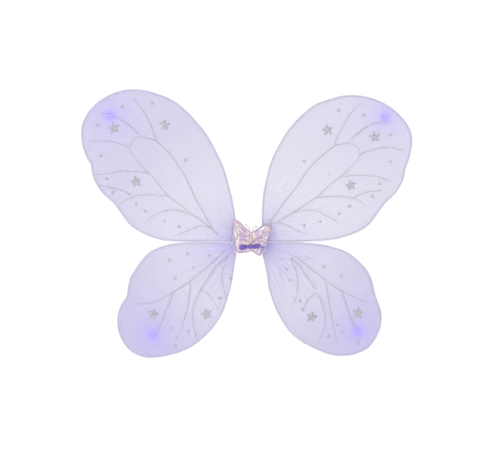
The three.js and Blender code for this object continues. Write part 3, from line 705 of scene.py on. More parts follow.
# %% Root gathers
GATHER_RINGS = 10
GATHER_OUT = 5.6 * MM
GATHER_ON_WIRE = 1.8 * MM
GATHER_AT_KNUCKLE = 3.85 * MM
GATHER_PLEAT = 1.7 * MM
GATHER_DEPTH = 0.7 * MM
GATHER_START = 0.1 * MM
GATHER_ROWS = 72
GATHER_TOP = {1: 21.0 * MM, -1: 15.4 * MM}
KNUCKLE_SPAN = {1: (5.6 * MM, 19.4 * MM), -1: (5.1 * MM, 13.4 * MM)}
for wing, (side, rise) in WINGS.items():
    knuckle_starts, knuckle_stops = KNUCKLE_SPAN[rise]
    bm = bmesh.new()
    glow = bm.verts.layers.float.new("glow")
    gather = bm.verts.layers.float.new("gather")
    rows = []
    for k in range(GATHER_ROWS + 1):
        z = GATHER_START + (GATHER_TOP[rise] - GATHER_START) * k / GATHER_ROWS
        inner = GATHER_AT_KNUCKLE if knuckle_starts < z < knuckle_stops else GATHER_ON_WIRE
        row = []
        for ring in range(GATHER_RINGS + 1):
            out = inner + (GATHER_OUT - inner) * ring / GATHER_RINGS
            pleat = math.sin(math.tau * (z / GATHER_PLEAT + 0.6 * noise.noise(Vector((out, z, side)) * 200)))
            row.append(bm.verts.new((HINGES[wing].x + side * out, WING_Y + GATHER_DEPTH * pleat, rise * z)))
        for v in row:
            v[glow] = min(1.0, 1.1 * glow_at(wing, v.co))
            v[gather] = 0.7 + 0.3 * noise.noise(v.co * 500)
        rows.append(row)
    for first, second in zip(rows, rows[1:]):
        for k in range(GATHER_RINGS):
            bm.faces.new((first[k], first[k + 1], second[k + 1], second[k]))
    bunch = finish_piece(f"root_gather_{wing}", bm, f"{wing}_wing", [stretch_nylon])
    thicken(bunch, CLOTH_THICKNESS)
    for layer, parts in (("front", [hems[wing], bunch]), ("back", [])):
        sheet, size, area = cuts[wing, layer]

# %% [markdown]
# ## Glitter decoration
# The veins are beads of clear glue drawn on the front layer and sprinkled with glitter; stars and dots are
# the same glue in small patches. The routes are drawn in millimetres, as the maker's stencil would be. Each
# bead follows the height of the cloth under it.

# %% Stencil of the upper wings
STENCIL = {
    "upper_left": {
        "stars": [(-203, 171), (-127, 175.5), (-170, 90.5)],
        "dots": [(-190, 204), (-145.5, 208.5), (-228, 175.5), (-222.5, 130), (-95, 123), (-213.5, 95),
                 (-204, 75), (-170, 57), (-156, 46), (-128, 32), (-105, 24)],
        "specks": [(-135, 154), (-137, 94)],
        "veins": [
            [(-48, 11), (-57, 23), (-72, 50), (-81, 65), (-91, 88), (-102.5, 109), (-114, 126), (-127, 141),
             (-139, 151), (-150, 156), (-165, 157), (-175, 153), (-179, 142)],
            [(-139, 151), (-144, 165), (-149, 179), (-158, 195), (-172, 214)],
            [(-48, 11), (-58.5, 22), (-87, 43), (-106, 58), (-122, 69.5), (-137, 88), (-150, 103),
             (-162, 115), (-177, 133.5), (-180, 142)],
            [(-166, 161), (-177, 173), (-192.5, 183), (-206, 190), (-223, 194)],
            [(-180, 142), (-192.5, 147), (-208, 151), (-223, 152), (-240, 151)],
            [(-152, 104), (-169.5, 106), (-187, 107), (-206, 104), (-229, 101)],
            [(-122, 69.5), (-143, 71), (-162, 71), (-177, 67.5), (-194, 58)],
            [(-177, 70), (-192.5, 78), (-208, 82), (-224, 85)],
            [(-89, 42), (-104, 47), (-120, 48), (-137, 43), (-156, 31)],
            [(-57, 21), (-66, 23), (-78, 23), (-93, 17), (-109, 11)],
        ],
    },
    "upper_right": {
        "stars": [(117, 168), (188, 158), (152, 85)],
        "dots": [(134, 198), (172, 190), (212, 161), (82, 122), (211.5, 121), (195, 88), (184, 68), (150, 54),
                 (135, 43), (106, 31), (82, 25)],
        "specks": [(130, 160), (120, 103)],
        "veins": [
            [(31, 31), (49, 55), (70, 82), (87.5, 108), (105, 126), (128, 145), (139, 147), (151, 148),
             (161, 143), (165.5, 136), (165.5, 130)],
            [(128, 146), (133, 160), (143, 179), (153, 195), (168, 210)],
            [(43.5, 31), (68, 46), (99, 66.5), (118, 83), (137, 99), (153, 113), (165.5, 130)],
            [(153.5, 154), (164, 164), (177.5, 174), (193, 179), (210, 180)],
            [(165.5, 131), (179, 137), (196.5, 141), (214, 141), (233, 137)],
            [(137, 97), (154, 100), (177.5, 100), (193, 98), (212, 91)],
            [(99, 66.5), (116, 68), (135, 69), (153, 66), (166, 61), (174.5, 54)],
            [(154, 66), (168, 72), (181, 76), (198.5, 77)],
            [(66.5, 45), (80, 47), (95, 48), (108.5, 43.5), (132.5, 30)],
            [(30, 28), (43.5, 29), (57, 25), (70, 18), (87.5, 12)],
        ],
    },
}

# %% Stencil of the lower wings
STENCIL.update({
    "lower_left": {
        "stars": [(-144, -108), (-64, -108)],
        "dots": [(-92, -17), (-120, -27), (-60, -20), (-83, -39), (-111.5, -54), (-28, -54), (-44, -84),
                 (-115, -129), (-92, -134), (-111, -155)],
        "specks": [(-98, -75), (-60, -128)],
        "veins": [
            [(-37, -13), (-54, -29), (-71, -44), (-88.5, -58), (-102, -67.5), (-115, -76), (-132, -85),
             (-147.5, -91), (-160, -92), (-172, -92)],
            [(-114.5, -76), (-120, -91), (-127.5, -109), (-134, -126), (-140, -143)],
            [(-88.5, -58), (-89, -74), (-92, -95), (-98, -117), (-105, -136.5), (-111, -149)],
            [(-33, -20), (-48, -35), (-60, -51), (-73, -71), (-80, -86), (-85, -101), (-85, -117),
             (-82, -133), (-77, -149)],
            [(-73, -71), (-63, -77), (-54, -88), (-44, -103)],
            [(-33, -20), (-38, -35), (-41, -49), (-40, -64.5), (-33.5, -87.5)],
        ],
        "back_veins": [[(-75, -74), (-76, -97), (-76, -120), (-71, -142.5)]],
    },
    "lower_right": {
        "stars": [(94, -112), (163, -106.5)],
        "dots": [(89, -22.5), (112, -37), (138, -51), (48.5, -27), (56, -41), (60, -57), (76, -88),
                 (80, -102), (133, -124.5), (140, -135), (119, -141), (163, -150)],
        "specks": [(98, -62), (104, -120)],
        "veins": [
            [(69, -22), (87, -35), (104, -49), (119, -61), (139, -73.5), (159, -83), (180.5, -94)],
            [(139.5, -74), (145, -94), (152, -113), (157, -129), (159, -139)],
            [(115, -61), (118, -81.5), (122, -103), (126, -124.5), (131, -150)],
            [(61, -22.5), (76, -37), (87, -53), (102, -76), (110, -96), (114, -114.5), (112, -130),
             (102, -151)],
            [(100, -76), (90, -84), (84, -93), (80, -103)],
            [(62, -24), (70, -43), (73, -60), (71, -78.5), (64, -97)],
        ],
        "back_veins": [[(44, -38), (47, -62), (46, -85), (44, -105)]],
    },
})
print("veins per wing:", {wing: len(pattern["veins"]) for wing, pattern in STENCIL.items()})

# %% [markdown]
# ## Glitter materials
# Glitter flakes are tiny mirrors, each tilted its own way, so some are bright and some dark. Besides that
# real tilt, each flake carries a painted glint, an attribute that makes its colour lighter or darker. The
# glue under them is a milky grey gel.

# %% Glitter and glue materials
glitter_foil, tree, shader = shade("glitter_foil", 0.3)
shader.inputs["Metallic"].default_value = 0.7
# Painted glint: each flake's colour runs from dark to light grey with its attribute.
glint = attribute(tree, "glint")
cool = blend_colours(tree, glint, (0.34, 0.33, 0.38), (0.84, 0.82, 0.88))
tree.links.new(cool, shader.inputs["Base Color"])
roughen(tree, shader, glint, 0.0, 1.0, 0.45, 0.18)

glitter_glue, tree, shader = shade("glitter_glue", 0.35, Coat_Weight=0.4)
cloudy = texture(tree, mottle, Scale=600.0, Contrast=1.6)
paint(tree, shader, cloudy, (0.42, 0.40, 0.48), (0.56, 0.54, 0.62))
relief(tree, shader, texture(tree, grain, Scale=1800.0), 0.0002, 0.8)
shader.inputs["Alpha"].default_value = 0.65
print("glitter:", glitter_foil.name, "and", glitter_glue.name)

# %% [markdown]
# ## Sprinkling flakes
# One six-sided flake is made once with operators. Copies of it are then moved to their places with a
# matrix each, so thousands of flakes stay light: each has only a handful of faces.

# %% Sprinkling flakes
FLAKE_RADIUS = 0.33 * MM
FLAKE_THICKNESS = 0.05 * MM
FLAKE_TILT = math.radians(32)
FLAKE_SIZES = (0.75, 1.35)
flake = bpy.data.meshes.new("flake")
bm = bmesh.new()
bmesh.ops.create_circle(bm, cap_ends=True, segments=6, radius=FLAKE_RADIUS)
thick = bmesh.ops.extrude_face_region(bm, geom=bm.faces[:])
bmesh.ops.translate(bm, verts=[v for v in thick["geom"] if isinstance(v, bmesh.types.BMVert)],
                    vec=(0, 0, FLAKE_THICKNESS))
bmesh.ops.recalc_face_normals(bm, faces=bm.faces)
bm.to_mesh(flake)
bm.free()
flake_points = [v.co.copy() for v in flake.vertices]


def sprinkle(places, chance):
    """Flakes at the places, each turned and tilted by chance and given a painted glint; returns their bmesh.
    """
    bm = bmesh.new()
    for _ in places:
        bm.from_mesh(flake)
    glint = bm.verts.layers.float.new("glint")
    moves = []
    for place in places:
        turn = Matrix.Rotation(math.pi / 2, 4, "X") @ Matrix.Rotation(chance.uniform(0, math.tau), 4, "Z")
        tilt = (Matrix.Rotation(chance.uniform(-FLAKE_TILT, FLAKE_TILT), 4, "X")
                @ Matrix.Rotation(chance.uniform(-FLAKE_TILT, FLAKE_TILT), 4, "Z"))
        moves.append((Matrix.Translation(place) @ tilt @ turn
                      @ Matrix.Scale(chance.uniform(*FLAKE_SIZES), 4), chance.random()))
    for i, v in enumerate(bm.verts):
        matrix, glint_level = moves[i // len(flake_points)]
        v.co = matrix @ flake_points[i % len(flake_points)]
        # a painted glint: a lighter or darker colour for the whole flake
        v[glint] = glint_level
    return bm


print("one flake has", len(flake.polygons), "faces")

# %% [markdown]
# ## Veins, stars and dots
# A vein is a thin round bead that tapers at its free end. A star is a ten-cornered patch and a dot a low
# dome, both pressed from the same glue. The stars all lean a little, as hand-stuck ones do.

# %% Veins
VEIN_RADIUS = 0.45 * MM
VEIN_STEP = 1.6
FLAKE_SCATTER = 0.8
FLAKES_PER_MM = 1.7
flake_places = {wing: [] for wing in WINGS}
chance = random.Random(7)
for wing, pattern in STENCIL.items():
    beads = []
    for vein in pattern["veins"]:
        drawn = even_line(smooth_line([Vector((x, 0, z)) for x, z in vein], 6), VEIN_STEP)
        beads.append([on_front(wing, p.x, p.z, 0.15 * MM) for p in drawn])
        length = sum((b - a).length for a, b in zip(drawn, drawn[1:]))
        for _ in range(int(length * FLAKES_PER_MM)):
            p = drawn[min(int(chance.random() * len(drawn)), len(drawn) - 1)]
            x = p.x + chance.gauss(0, FLAKE_SCATTER)
            z = p.z + chance.gauss(0, FLAKE_SCATTER)
            off = min((q - Vector((x, 0, z))).length for q in (p, drawn[0], drawn[-1]))
            flake_places[wing].append(on_front(wing, x, z, 0.12 * MM + max(0.0, 0.45 - 0.4 * off) * MM))
    bm = swept_mesh(beads, VEIN_RADIUS, sides=8, taper=lambda t: 1.0 - 0.55 * t ** 3)
    finish_piece(f"vein_glue_{wing}", bm, f"{wing}_wing", [glitter_glue])
print("flakes on veins:", {wing: len(places) for wing, places in flake_places.items()})

# %% Stars and dots
STAR_REACH = 9.8
STAR_WAIST = 4.5
STAR_LEAN = 0.3
STAR_THICKNESS = 0.35 * MM
DOT_RADIUS = 2.3
SPECK_RADIUS = 1.2
FLAKES_PER_STAR = 190
FLAKES_PER_DOT = 26


def star_edge(angle):
    """Reach of a five-pointed star, in millimetres, in a direction from its middle."""
    step = math.pi / 5
    part = (angle % (2 * step)) / step
    if part > 1:
        part = 2 - part
    tip = Vector((STAR_REACH, 0))
    waist = Vector((STAR_WAIST * math.cos(step), STAR_WAIST * math.sin(step)))
    ray = Vector((math.cos(part * step), math.sin(part * step)))
    edge = waist - tip
    return (tip.x * edge.y - tip.y * edge.x) / (ray.x * edge.y - ray.y * edge.x)


for wing, pattern in STENCIL.items():
    patches = bmesh.new()
    for x, z in pattern["stars"]:
        lean = math.pi / 2 + chance.uniform(-STAR_LEAN, STAR_LEAN)
        star = bmesh.ops.create_circle(patches, cap_ends=True, segments=40, radius=1.0)["verts"]
        for v in star:
            angle = math.atan2(v.co.y, v.co.x)
            reach = star_edge(angle - lean) * 0.97
            v.co = on_front(wing, x + reach * math.cos(angle), z + reach * math.sin(angle))
        top = bmesh.ops.extrude_face_region(patches, geom=list({f for v in star for f in v.link_faces}))
        raised = [v for v in top["geom"] if isinstance(v, bmesh.types.BMVert)]
        bmesh.ops.translate(patches, verts=raised, vec=(0, -STAR_THICKNESS, 0))
        for _ in range(FLAKES_PER_STAR):
            angle = chance.uniform(0, math.tau)
            reach = star_edge(angle - lean) * math.sqrt(chance.random())
            flake_places[wing].append(on_front(wing, x + reach * math.cos(angle), z + reach * math.sin(angle),
                                               STAR_THICKNESS + 0.05 * MM))
    for kind, radius in (("dots", DOT_RADIUS), ("specks", SPECK_RADIUS)):
        for x, z in pattern[kind]:
            dome = bmesh.ops.create_uvsphere(patches, u_segments=16, v_segments=8, radius=1.0)["verts"]
            centre = on_front(wing, x, z)
            for v in dome:
                v.co = centre + Vector((v.co.x * radius, v.co.y * 0.2 * radius, v.co.z * radius)) * MM
            for _ in range(int(FLAKES_PER_DOT * (radius / DOT_RADIUS) ** 2)):
                angle = chance.uniform(0, math.tau)
                reach = radius * 1.25 * math.sqrt(chance.random())
                height = 0.2 * radius * math.sqrt(max(0.0, 1 - (reach / radius) ** 2))
                spot = Vector((reach * math.cos(angle), -height - 0.05, reach * math.sin(angle)))
                flake_places[wing].append(centre + spot * MM)
    bmesh.ops.recalc_face_normals(patches, faces=patches.faces)
    finish_piece(f"stars_and_dots_{wing}", patches, f"{wing}_wing", [glitter_glue])
    flakes = sprinkle(flake_places[wing], chance)
    finish_piece(f"glitter_{wing}", flakes, f"{wing}_wing", [glitter_foil], smooth=False)
print("flakes in all:", sum(len(places) for places in flake_places.values()))

# %% Print on the back layer of the lower wings
GHOST_SHIFT = 2.5
for wing in ("lower_left", "lower_right"):
    beads = []
    for vein in STENCIL[wing]["back_veins"] + STENCIL[wing]["veins"][3:4]:
        drawn = even_line(smooth_line([Vector((x + GHOST_SHIFT, 0, z)) for x, z in vein], 6), VEIN_STEP)
        route = [p * MM for p in drawn]
        beads.append([Vector((p.x, WING_Y + cloth_height(wing, p.x, p.z) + 0.05 * MM, p.z)) for p in route])
    bm = swept_mesh(beads, 0.35 * MM, sides=6, taper=lambda t: 1.0 - 0.5 * t)
    finish_piece(f"back_veins_{wing}", bm, f"{wing}_wing", [glitter_glue])
print("back print: ghost veins on the lower wings")

# %% [markdown]
# ## Wing lights and their leads
# A grain-of-rice light sits between the layers near each tip: a clear round-nosed bulb on a small collar,
# glowing violet, with a two-core lead that runs under the vein back to the hub.

# %% Light and lead materials
violet_lens, tree, shader = shade("violet_lens", 0.15, Coat_Weight=0.6)
# Painted light: the lens colour is paler where it faces the camera and deeper violet towards its outline.
facing = node(tree, "ShaderNodeLayerWeight", {"Blend": 0.35}).outputs["Facing"]
paint(tree, shader, facing, (0.62, 0.55, 1.0), (0.25, 0.16, 0.85))
hot = texture(tree, mottle, Scale=500.0, Contrast=0.8)
paint(tree, shader, hot, (0.30, 0.22, 1.0), (0.42, 0.34, 1.0), "Emission Color")
shader.inputs["Emission Strength"].default_value = 1.6

lead_jacket, tree, shader = shade("lead_jacket", 0.3, Coat_Weight=0.3)
shader.inputs["Alpha"].default_value = 0.55
clear = texture(tree, mottle, Scale=250.0, Contrast=0.8)
paint(tree, shader, clear, (0.60, 0.58, 0.70), (0.72, 0.70, 0.80))
relief(tree, shader, texture(tree, grain, Scale=1500.0), 0.0001, 0.3)

# %% Wing lights and leads
BULB_LENGTH = 5 * MM
CORE_RADIUS = 0.22 * MM


def bulb_mesh(base, direction, radius, length):
    """A round-nosed bulb with a collar at its base, spun about its own axis."""
    bm = bmesh.new()
    steps = 8
    profile = [(0, 0), (1.12 * radius, 0), (1.12 * radius, 0.12 * length), (radius, 0.16 * length)]
    nose = length - radius
    angles = [k * math.pi / 2 / steps for k in range(steps + 1)]
    profile += [(radius * math.cos(angle), nose + radius * math.sin(angle)) for angle in angles]
    points = [bm.verts.new((r, 0, h)) for r, h in profile]
    edges = [bm.edges.new(pair) for pair in zip(points, points[1:])]
    bmesh.ops.spin(bm, geom=points + edges, cent=(0, 0, 0), axis=(0, 0, 1), angle=math.tau, steps=20,
                   use_merge=True)
    bmesh.ops.remove_doubles(bm, verts=bm.verts, dist=1e-6)
    bmesh.ops.recalc_face_normals(bm, faces=bm.faces)
    turn = direction.to_track_quat("Z", "Y").to_matrix().to_4x4()
    bmesh.ops.transform(bm, matrix=Matrix.Translation(base) @ turn, verts=bm.verts)
    return bm


for wing in WINGS:
    lead = lead_lines[wing]
    end, before = lead[-1], lead[-2]
    if (lead[0] - light_places[wing]).length < (lead[-1] - light_places[wing]).length:
        end, before = lead[0], lead[1]
    low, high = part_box(f"led_{wing}")
    heading = (end - before).normalized()
    bm = bulb_mesh(light_places[wing] - heading * BULB_LENGTH / 2, heading, (high.y - low.y) / 2, BULB_LENGTH)
    finish_piece(f"light_{wing}", bm, f"{wing}_wing", [violet_lens], [f"led_{wing}"])
    cores = []
    for offset in (-CORE_RADIUS, CORE_RADIUS):
        line = smooth_line(lead, 3)
        sides = [Vector((-(b - a).z, 0, (b - a).x)).normalized() for a, b in zip(line, line[1:])]
        cores.append([p + offset * s for p, s in zip(line, sides + sides[-1:])])
    bm = swept_mesh(cores, CORE_RADIUS, sides=8)
    finish_piece(f"twin_lead_{wing}", bm, f"{wing}_wing", [lead_jacket], [f"led_lead_{wing}"])
print("lights and leads placed")

# %% [markdown]
# ## Frame wires
# The loops are spring wire with a thin pale lilac coat, rubbed lighter in places. The frame's bars have six
# sides, so a smooth round bar on the same centre line stands for each. It shows through the hem, and where
# the wire leaves the hem and turns into the hub's knuckle.

# %% Coated wire
plated_wire, tree, shader = shade("plated_wire", 0.3)
shader.inputs["Metallic"].default_value = 0.35
worn = texture(tree, wear, Start=0.5, End=0.62)
paint(tree, shader, worn, (0.66, 0.63, 0.77), (0.76, 0.74, 0.84))
drawn_marks = texture(tree, grain, Scale=2500.0, Detail=5.0)
roughen(tree, shader, drawn_marks, 0.3, 0.7, 0.22, 0.4)
relief(tree, shader, drawn_marks, 0.00004, 0.4)
for wing in WINGS:
    line = smooth_line(wire_lines[wing], 3)
    bm = swept_mesh([line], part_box(f"frame_wire_{wing}")[1].y - WING_Y, sides=12)
    finish_piece(f"loop_wire_{wing}", bm, f"{wing}_wing", [plated_wire], [f"frame_wire_{wing}"])
print("wires made smooth")

# %% [markdown]
# ## Pearly film and felt
# The butterfly is a padded shape of pearly plastic film on a felt back. The film shifts between pink, lilac
# and cream, as thin pearl coatings do, and has a fine crinkle from being heat-pressed. The felt is matted
# fibre, rough and slightly fuzzy, so it gets sheen and a dense noise relief.

# %% Film, piping and felt materials
pearl_skin, tree, shader = shade("pearl_skin", 0.28, Coat_Weight=0.5, Coat_Roughness=0.2)
shader.inputs["Metallic"].default_value = 0.12
shader.inputs["Thin Film Thickness"].default_value = 380.0
wide = texture(tree, mottle, Scale=130.0, Contrast=4.5)
fine = texture(tree, mottle, Scale=420.0, Contrast=2.0)
pink = blend_colours(tree, fine, (0.50, 0.34, 0.55), (0.66, 0.47, 0.66))
cream = blend_colours(tree, fine, (0.68, 0.56, 0.52), (0.82, 0.72, 0.65))
film_colour = blend_colours(tree, wide, pink, cream)
# The pattern attribute is the printed outline on the pad; on the body it is its own darker tone plus painted
# shade in the tucks.
pattern_and_shade_mask = attribute(tree, "pattern")
paint(tree, shader, pattern_and_shade_mask, film_colour, (0.30, 0.23, 0.38))
crinkle = node(tree, "ShaderNodeTexVoronoi", {"Vector": place_of(tree), "Scale": 700.0})
relief(tree, shader, crinkle.outputs["Distance"], 0.0003, 0.35)
roughen(tree, shader, fine, 0.2, 0.8, 0.2, 0.42)

mauve_piping, tree, shader = shade("mauve_piping", 0.5, Sheen_Weight=0.3)
twist = node(tree, "ShaderNodeTexWave", {"Vector": place_of(tree), "Scale": 420.0, "Distortion": 2.0},
             bands_direction="DIAGONAL")
# Painted shade: the cord is darker in the grooves of its twist.
paint(tree, shader, twist.outputs["Fac"], (0.27, 0.20, 0.33), (0.42, 0.33, 0.48))
relief(tree, shader, twist.outputs["Fac"], 0.00015, 0.8)

matted_felt, tree, shader = shade("matted_felt", 0.95, Sheen_Weight=0.6, Sheen_Roughness=0.6)
fibres = texture(tree, grain, Scale=2200.0, Detail=8.0)
clumps = texture(tree, mottle, Scale=180.0, Contrast=1.4)
paint(tree, shader, clumps, (0.36, 0.27, 0.55), (0.47, 0.38, 0.66))
relief(tree, shader, fibres, 0.0006, 0.9)
print("butterfly materials ready")

# %% [markdown]
# ## The padded butterfly
# The film is welded to its back along the edge and along channels between the wings, so each wing puffs up
# by itself. Its outline is read from the frame's plate; a fine grid is cut in it and every point rises with
# its distance from the nearest weld, which gives a crowned cushion that dives at the channels.

# %% Butterfly outline and welds


def flat_face(name, facing):
    """Corners, in order, of a plate's flat side that looks along facing."""
    bm = cad_copy(name)
    away = [face for face in bm.faces if face.normal.dot(facing) < 0.99]
    bmesh.ops.delete(bm, geom=away, context="FACES")
    bmesh.ops.dissolve_faces(bm, faces=bm.faces[:], use_verts=False)
    corners = [v.co.copy() for v in max(bm.faces, key=lambda face: face.calc_area()).verts]
    bm.free()
    return corners


def tree_of(lines, spacing=0.3 * MM):
    """A search tree of points along the lines, all brought to the plane y = 0."""
    points = []
    for line in lines:
        points += even_line([Vector((p.x, 0, p.z)) for p in line], spacing)
    return search_tree(points)


def stencil(lines, steps=5):
    return [smooth_line([Vector((x * MM, 0, z * MM)) for x, z in line], steps) for line in lines]


outline = flat_face("butterfly_backing", Vector((0, 1, 0)))
outline = smooth_line(outline, 4, closed=True)
pad_low, pad_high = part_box("butterfly_pad")
CHANNELS = stencil([
    [(3, 15), (2.2, 8), (2, 0), (3.2, -13)],
    [(2, 0), (-8, 3), (-16, 4.5), (-22, 2.5)],
    [(2, 0), (12, 2), (20, 1.5), (26.5, -1)],
])
edge_tree = tree_of([outline + outline[:1]])
channel_tree = tree_of(CHANNELS)
CROWN_RUN = 2.4 * MM
CHANNEL_WIDTH = 1.5 * MM
CHANNEL_DEPTH = 0.55


def pad_front(x, z):
    """Height of the film's front over the pad's back, at a place in the butterfly."""
    place = Vector((x, 0, z))
    from_edge = edge_tree.find(place)[2]
    from_channel = channel_tree.find(place)[2]
    crown = (1 - math.exp(-from_edge / CROWN_RUN)) ** 0.7
    dive = CHANNEL_DEPTH * math.exp(-(from_channel / CHANNEL_WIDTH) ** 2)
    pucker = 0.5 + 0.5 * math.sin(x / MM * 2.1 + 3 * noise.noise(place * 90))
    near_weld = math.exp(-min(from_edge, from_channel) / (1.8 * MM))
    rumple = 0.09 * noise.noise(place * 170) + 0.05 * noise.noise(place * 420)
    return (pad_high.y - pad_low.y) * (crown * (1 - dive) * (1 + rumple) - 0.05 * pucker * near_weld * crown)


print("outline of", len(outline), "points; pad is", round((pad_high.y - pad_low.y) / MM, 1), "mm thick")

# %% Butterfly pattern
PATTERN = stencil([
    [(-4, 14), (-8.5, 19.5), (-13.5, 25.5), (-18.5, 30), (-21.5, 27), (-21.5, 20), (-19, 14.5), (-12, 11.5),
     (-5, 11)],
    [(-7, 15), (-12, 20), (-17, 24.5), (-18.5, 20), (-14, 15.5), (-8, 13.5)],
    [(-1, 9), (-9, 8.5), (-17, 9.5), (-19, 6)],
    [(-18.6, 13.6), (-18, 9), (-18.8, 5)],
    [(-20.5, 1), (-21, -4), (-19.5, -9), (-18, -12.5), (-11, -13.5), (-3, -12.5)],
    [(7.5, 13), (12, 17.5), (18, 22.2), (26, 24), (31, 22), (30, 16.5), (26.5, 11), (18.5, 7.5), (9, 6.5)],
    [(11, 11.5), (14.5, 16), (19.5, 17.5), (21, 13.5), (17.5, 10), (12.5, 9.5)],
    [(22, 19), (26.5, 20.5), (27.5, 17), (24, 14)],
    [(6, 4.5), (13, 5.5), (22, 5.5), (25, 3)],
    [(23.5, 0), (20.5, -4), (18, -10.5), (16.5, -16.5), (14, -17.5), (9, -14.5), (5.5, -11.5)],
], 4)
pattern_tree = tree_of(PATTERN)
PATTERN_WIDTH = 0.75 * MM
RIM_WIDTH = 1.1 * MM
PAD_GRID = 0.7 * MM
PIPING_RADIUS = 0.32 * MM
EDGE_RADIUS = 0.5 * MM


def padded_butterfly():
    """The pad's closed skin: a flat back, and a front raised on a fine grid."""
    bm, _ = flat_shape([(p.x, pad_high.y, p.z) for p in outline], -1)
    cut_grid(bm, 0.3 * MM, PAD_GRID)
    front = bm.faces[:]
    back = bmesh.ops.duplicate(bm, geom=front)
    back_faces = [item for item in back["geom"] if isinstance(item, bmesh.types.BMFace)]
    bmesh.ops.reverse_faces(bm, faces=back_faces)
    mask = bm.verts.layers.float.new("pattern")
    for v in {v for f in front for v in f.verts}:
        place = Vector((v.co.x, 0, v.co.z))
        line = math.exp(-(pattern_tree.find(place)[2] / PATTERN_WIDTH) ** 2)
        rim = math.exp(-(edge_tree.find(place)[2] / RIM_WIDTH) ** 2)
        v[mask] = min(1.0, 0.75 * line + 0.6 * rim)
        v.co.y = pad_high.y - pad_front(v.co.x, v.co.z)
    bmesh.ops.remove_doubles(bm, verts=bm.verts, dist=1e-6)
    return bm


pad = finish_piece("pearl_butterfly", padded_butterfly(), "root", [pearl_skin],
                   ["butterfly_pad"])
print("pad has", len(pad.data.polygons), "faces")


def on_pad(line, above):
    """The line laid on the pad's front."""
    return [Vector((p.x, pad_high.y - pad_front(p.x, p.z) - above, p.z)) for p in line]


bm = swept_mesh([on_pad(line, 0.05 * MM) for line in PATTERN], PIPING_RADIUS, sides=8,
                taper=lambda t: 0.6 + 0.4 * math.sin(math.pi * min(1, max(0, t))))
finish_piece("pattern_piping", bm, "root", [mauve_piping])
inner = [p.lerp(Vector((2 * MM, p.y, 6 * MM)), 0.045) for p in outline]
bm = swept_mesh([on_pad(even_line(inner + inner[:1], 0.8 * MM)[:-1], 0.0)], EDGE_RADIUS, sides=8, closed=True)
finish_piece("edge_piping", bm, "root", [mauve_piping])

# %% Felt backing
FELT_ROUND = 0.45 * MM
felt_low, felt_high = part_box("butterfly_backing")
bm, face = flat_shape([(p.x, felt_high.y, p.z) for p in outline], 1)
deeper = bmesh.ops.extrude_face_region(bm, geom=[face])
sunk = [v for v in deeper["geom"] if isinstance(v, bmesh.types.BMVert)]
bmesh.ops.translate(bm, verts=sunk, vec=(0, felt_low.y - felt_high.y, 0))
bmesh.ops.recalc_face_normals(bm, faces=bm.faces)
rims_of_felt = [edge for edge in bm.edges if edge.calc_face_angle(0) > math.radians(50)]
bmesh.ops.bevel(bm, geom=rims_of_felt, offset=FELT_ROUND, offset_type="OFFSET", segments=3, profile=0.5,
                affect="EDGES", material=-1, clamp_overlap=True)
bmesh.ops.triangulate(bm, faces=[f for f in bm.faces if len(f.verts) > 4])
finish_piece("felt_backing", bm, "root", [matted_felt], ["butterfly_backing"])
print("butterfly: pad, piping and felt")

# %% [markdown]
# ## Body and antennae
# The body is a slim stuffed tube with ring-shaped tucks, with painted shade in the tucks. The antennae
# are curled wires with a bead of glue at the tip, and follow the frame's own bars.

# %% Body and antennae
TUCKS = 6
TUCK_DEPTH = 0.13
ANTENNA_RADIUS = 0.42 * MM
TIP_RADIUS = 0.95 * MM
middle, half = middle_and_half("butterfly_body")
bm = bmesh.new()
bmesh.ops.create_uvsphere(bm, u_segments=32, v_segments=48, radius=1.0)
for v in bm.verts:
    along = v.co.z
    ring = 1 - TUCK_DEPTH * (0.5 + 0.5 * math.cos(along * TUCKS * math.pi)) * (1 - along ** 4)
    taper = 0.8 + 0.25 * along
    v.co = middle + Vector((v.co.x * half.x * ring * taper, v.co.y * half.y * ring * taper, along * half.z))
# The body's own darker tone, plus painted shade in the tucks.
mask = bm.verts.layers.float.new("pattern")
for v in bm.verts:
    v[mask] = 0.25 + 0.3 * (0.5 + 0.5 * math.cos((v.co.z - middle.z) / half.z * TUCKS * math.pi))
finish_piece("ringed_body", bm, "root", [pearl_skin], ["butterfly_body"])

for side in ("left", "right"):
    line = smooth_line(centre_line(f"antenna_{side}", sides=8), 3)
    if line[0].z > line[-1].z:
        line.reverse()
    bm = swept_mesh([line], ANTENNA_RADIUS, sides=10, taper=lambda t: 1.15 - 0.35 * t)
    tip = bmesh.ops.create_uvsphere(bm, u_segments=16, v_segments=10, radius=TIP_RADIUS)["verts"]
    bmesh.ops.translate(bm, verts=tip, vec=line[-1])
    finish_piece(f"curled_antenna_{side}", bm, "root", [mauve_piping], [f"antenna_{side}"])
print("body and antennae placed")

# %% [markdown]
# ## Satin bow
# The bow is tied from violet satin ribbon: two loops, a knot and a short tail. A loop is a grid bent round
# on itself, from the knot out and back, narrower and pleated where the knot squeezes it. Satin has long
# smooth floats on its face, which gives its sharp, stretched highlights. Painted shade darkens the folds,
# the ribbon's edges and the sunk turns of the knot.

# %% Satin material
ribbon_satin, tree, shader = shade("ribbon_satin", 0.3, Sheen_Weight=0.3, Anisotropic=0.6,
                                   Specular_IOR_Level=0.6)
floats = node(tree, "ShaderNodeTexWave", {"Vector": place_of(tree), "Scale": 900.0, "Distortion": 0.6},
              bands_direction="Z")
shaded = texture(tree, mottle, Scale=330.0, Contrast=3.0)
fold_shade = attribute(tree, "fold_shade")
face_colour = blend_colours(tree, shaded, (0.085, 0.032, 0.29), (0.20, 0.09, 0.53))
# Painted shade: the ribbon is darker in its folds, along its edges and in the knot's sunk turns.
paint(tree, shader, fold_shade, face_colour, (0.05, 0.018, 0.17))
roughen(tree, shader, shaded, 0.0, 1.0, 0.24, 0.4)
relief(tree, shader, floats.outputs["Fac"], 0.00004, 0.5)

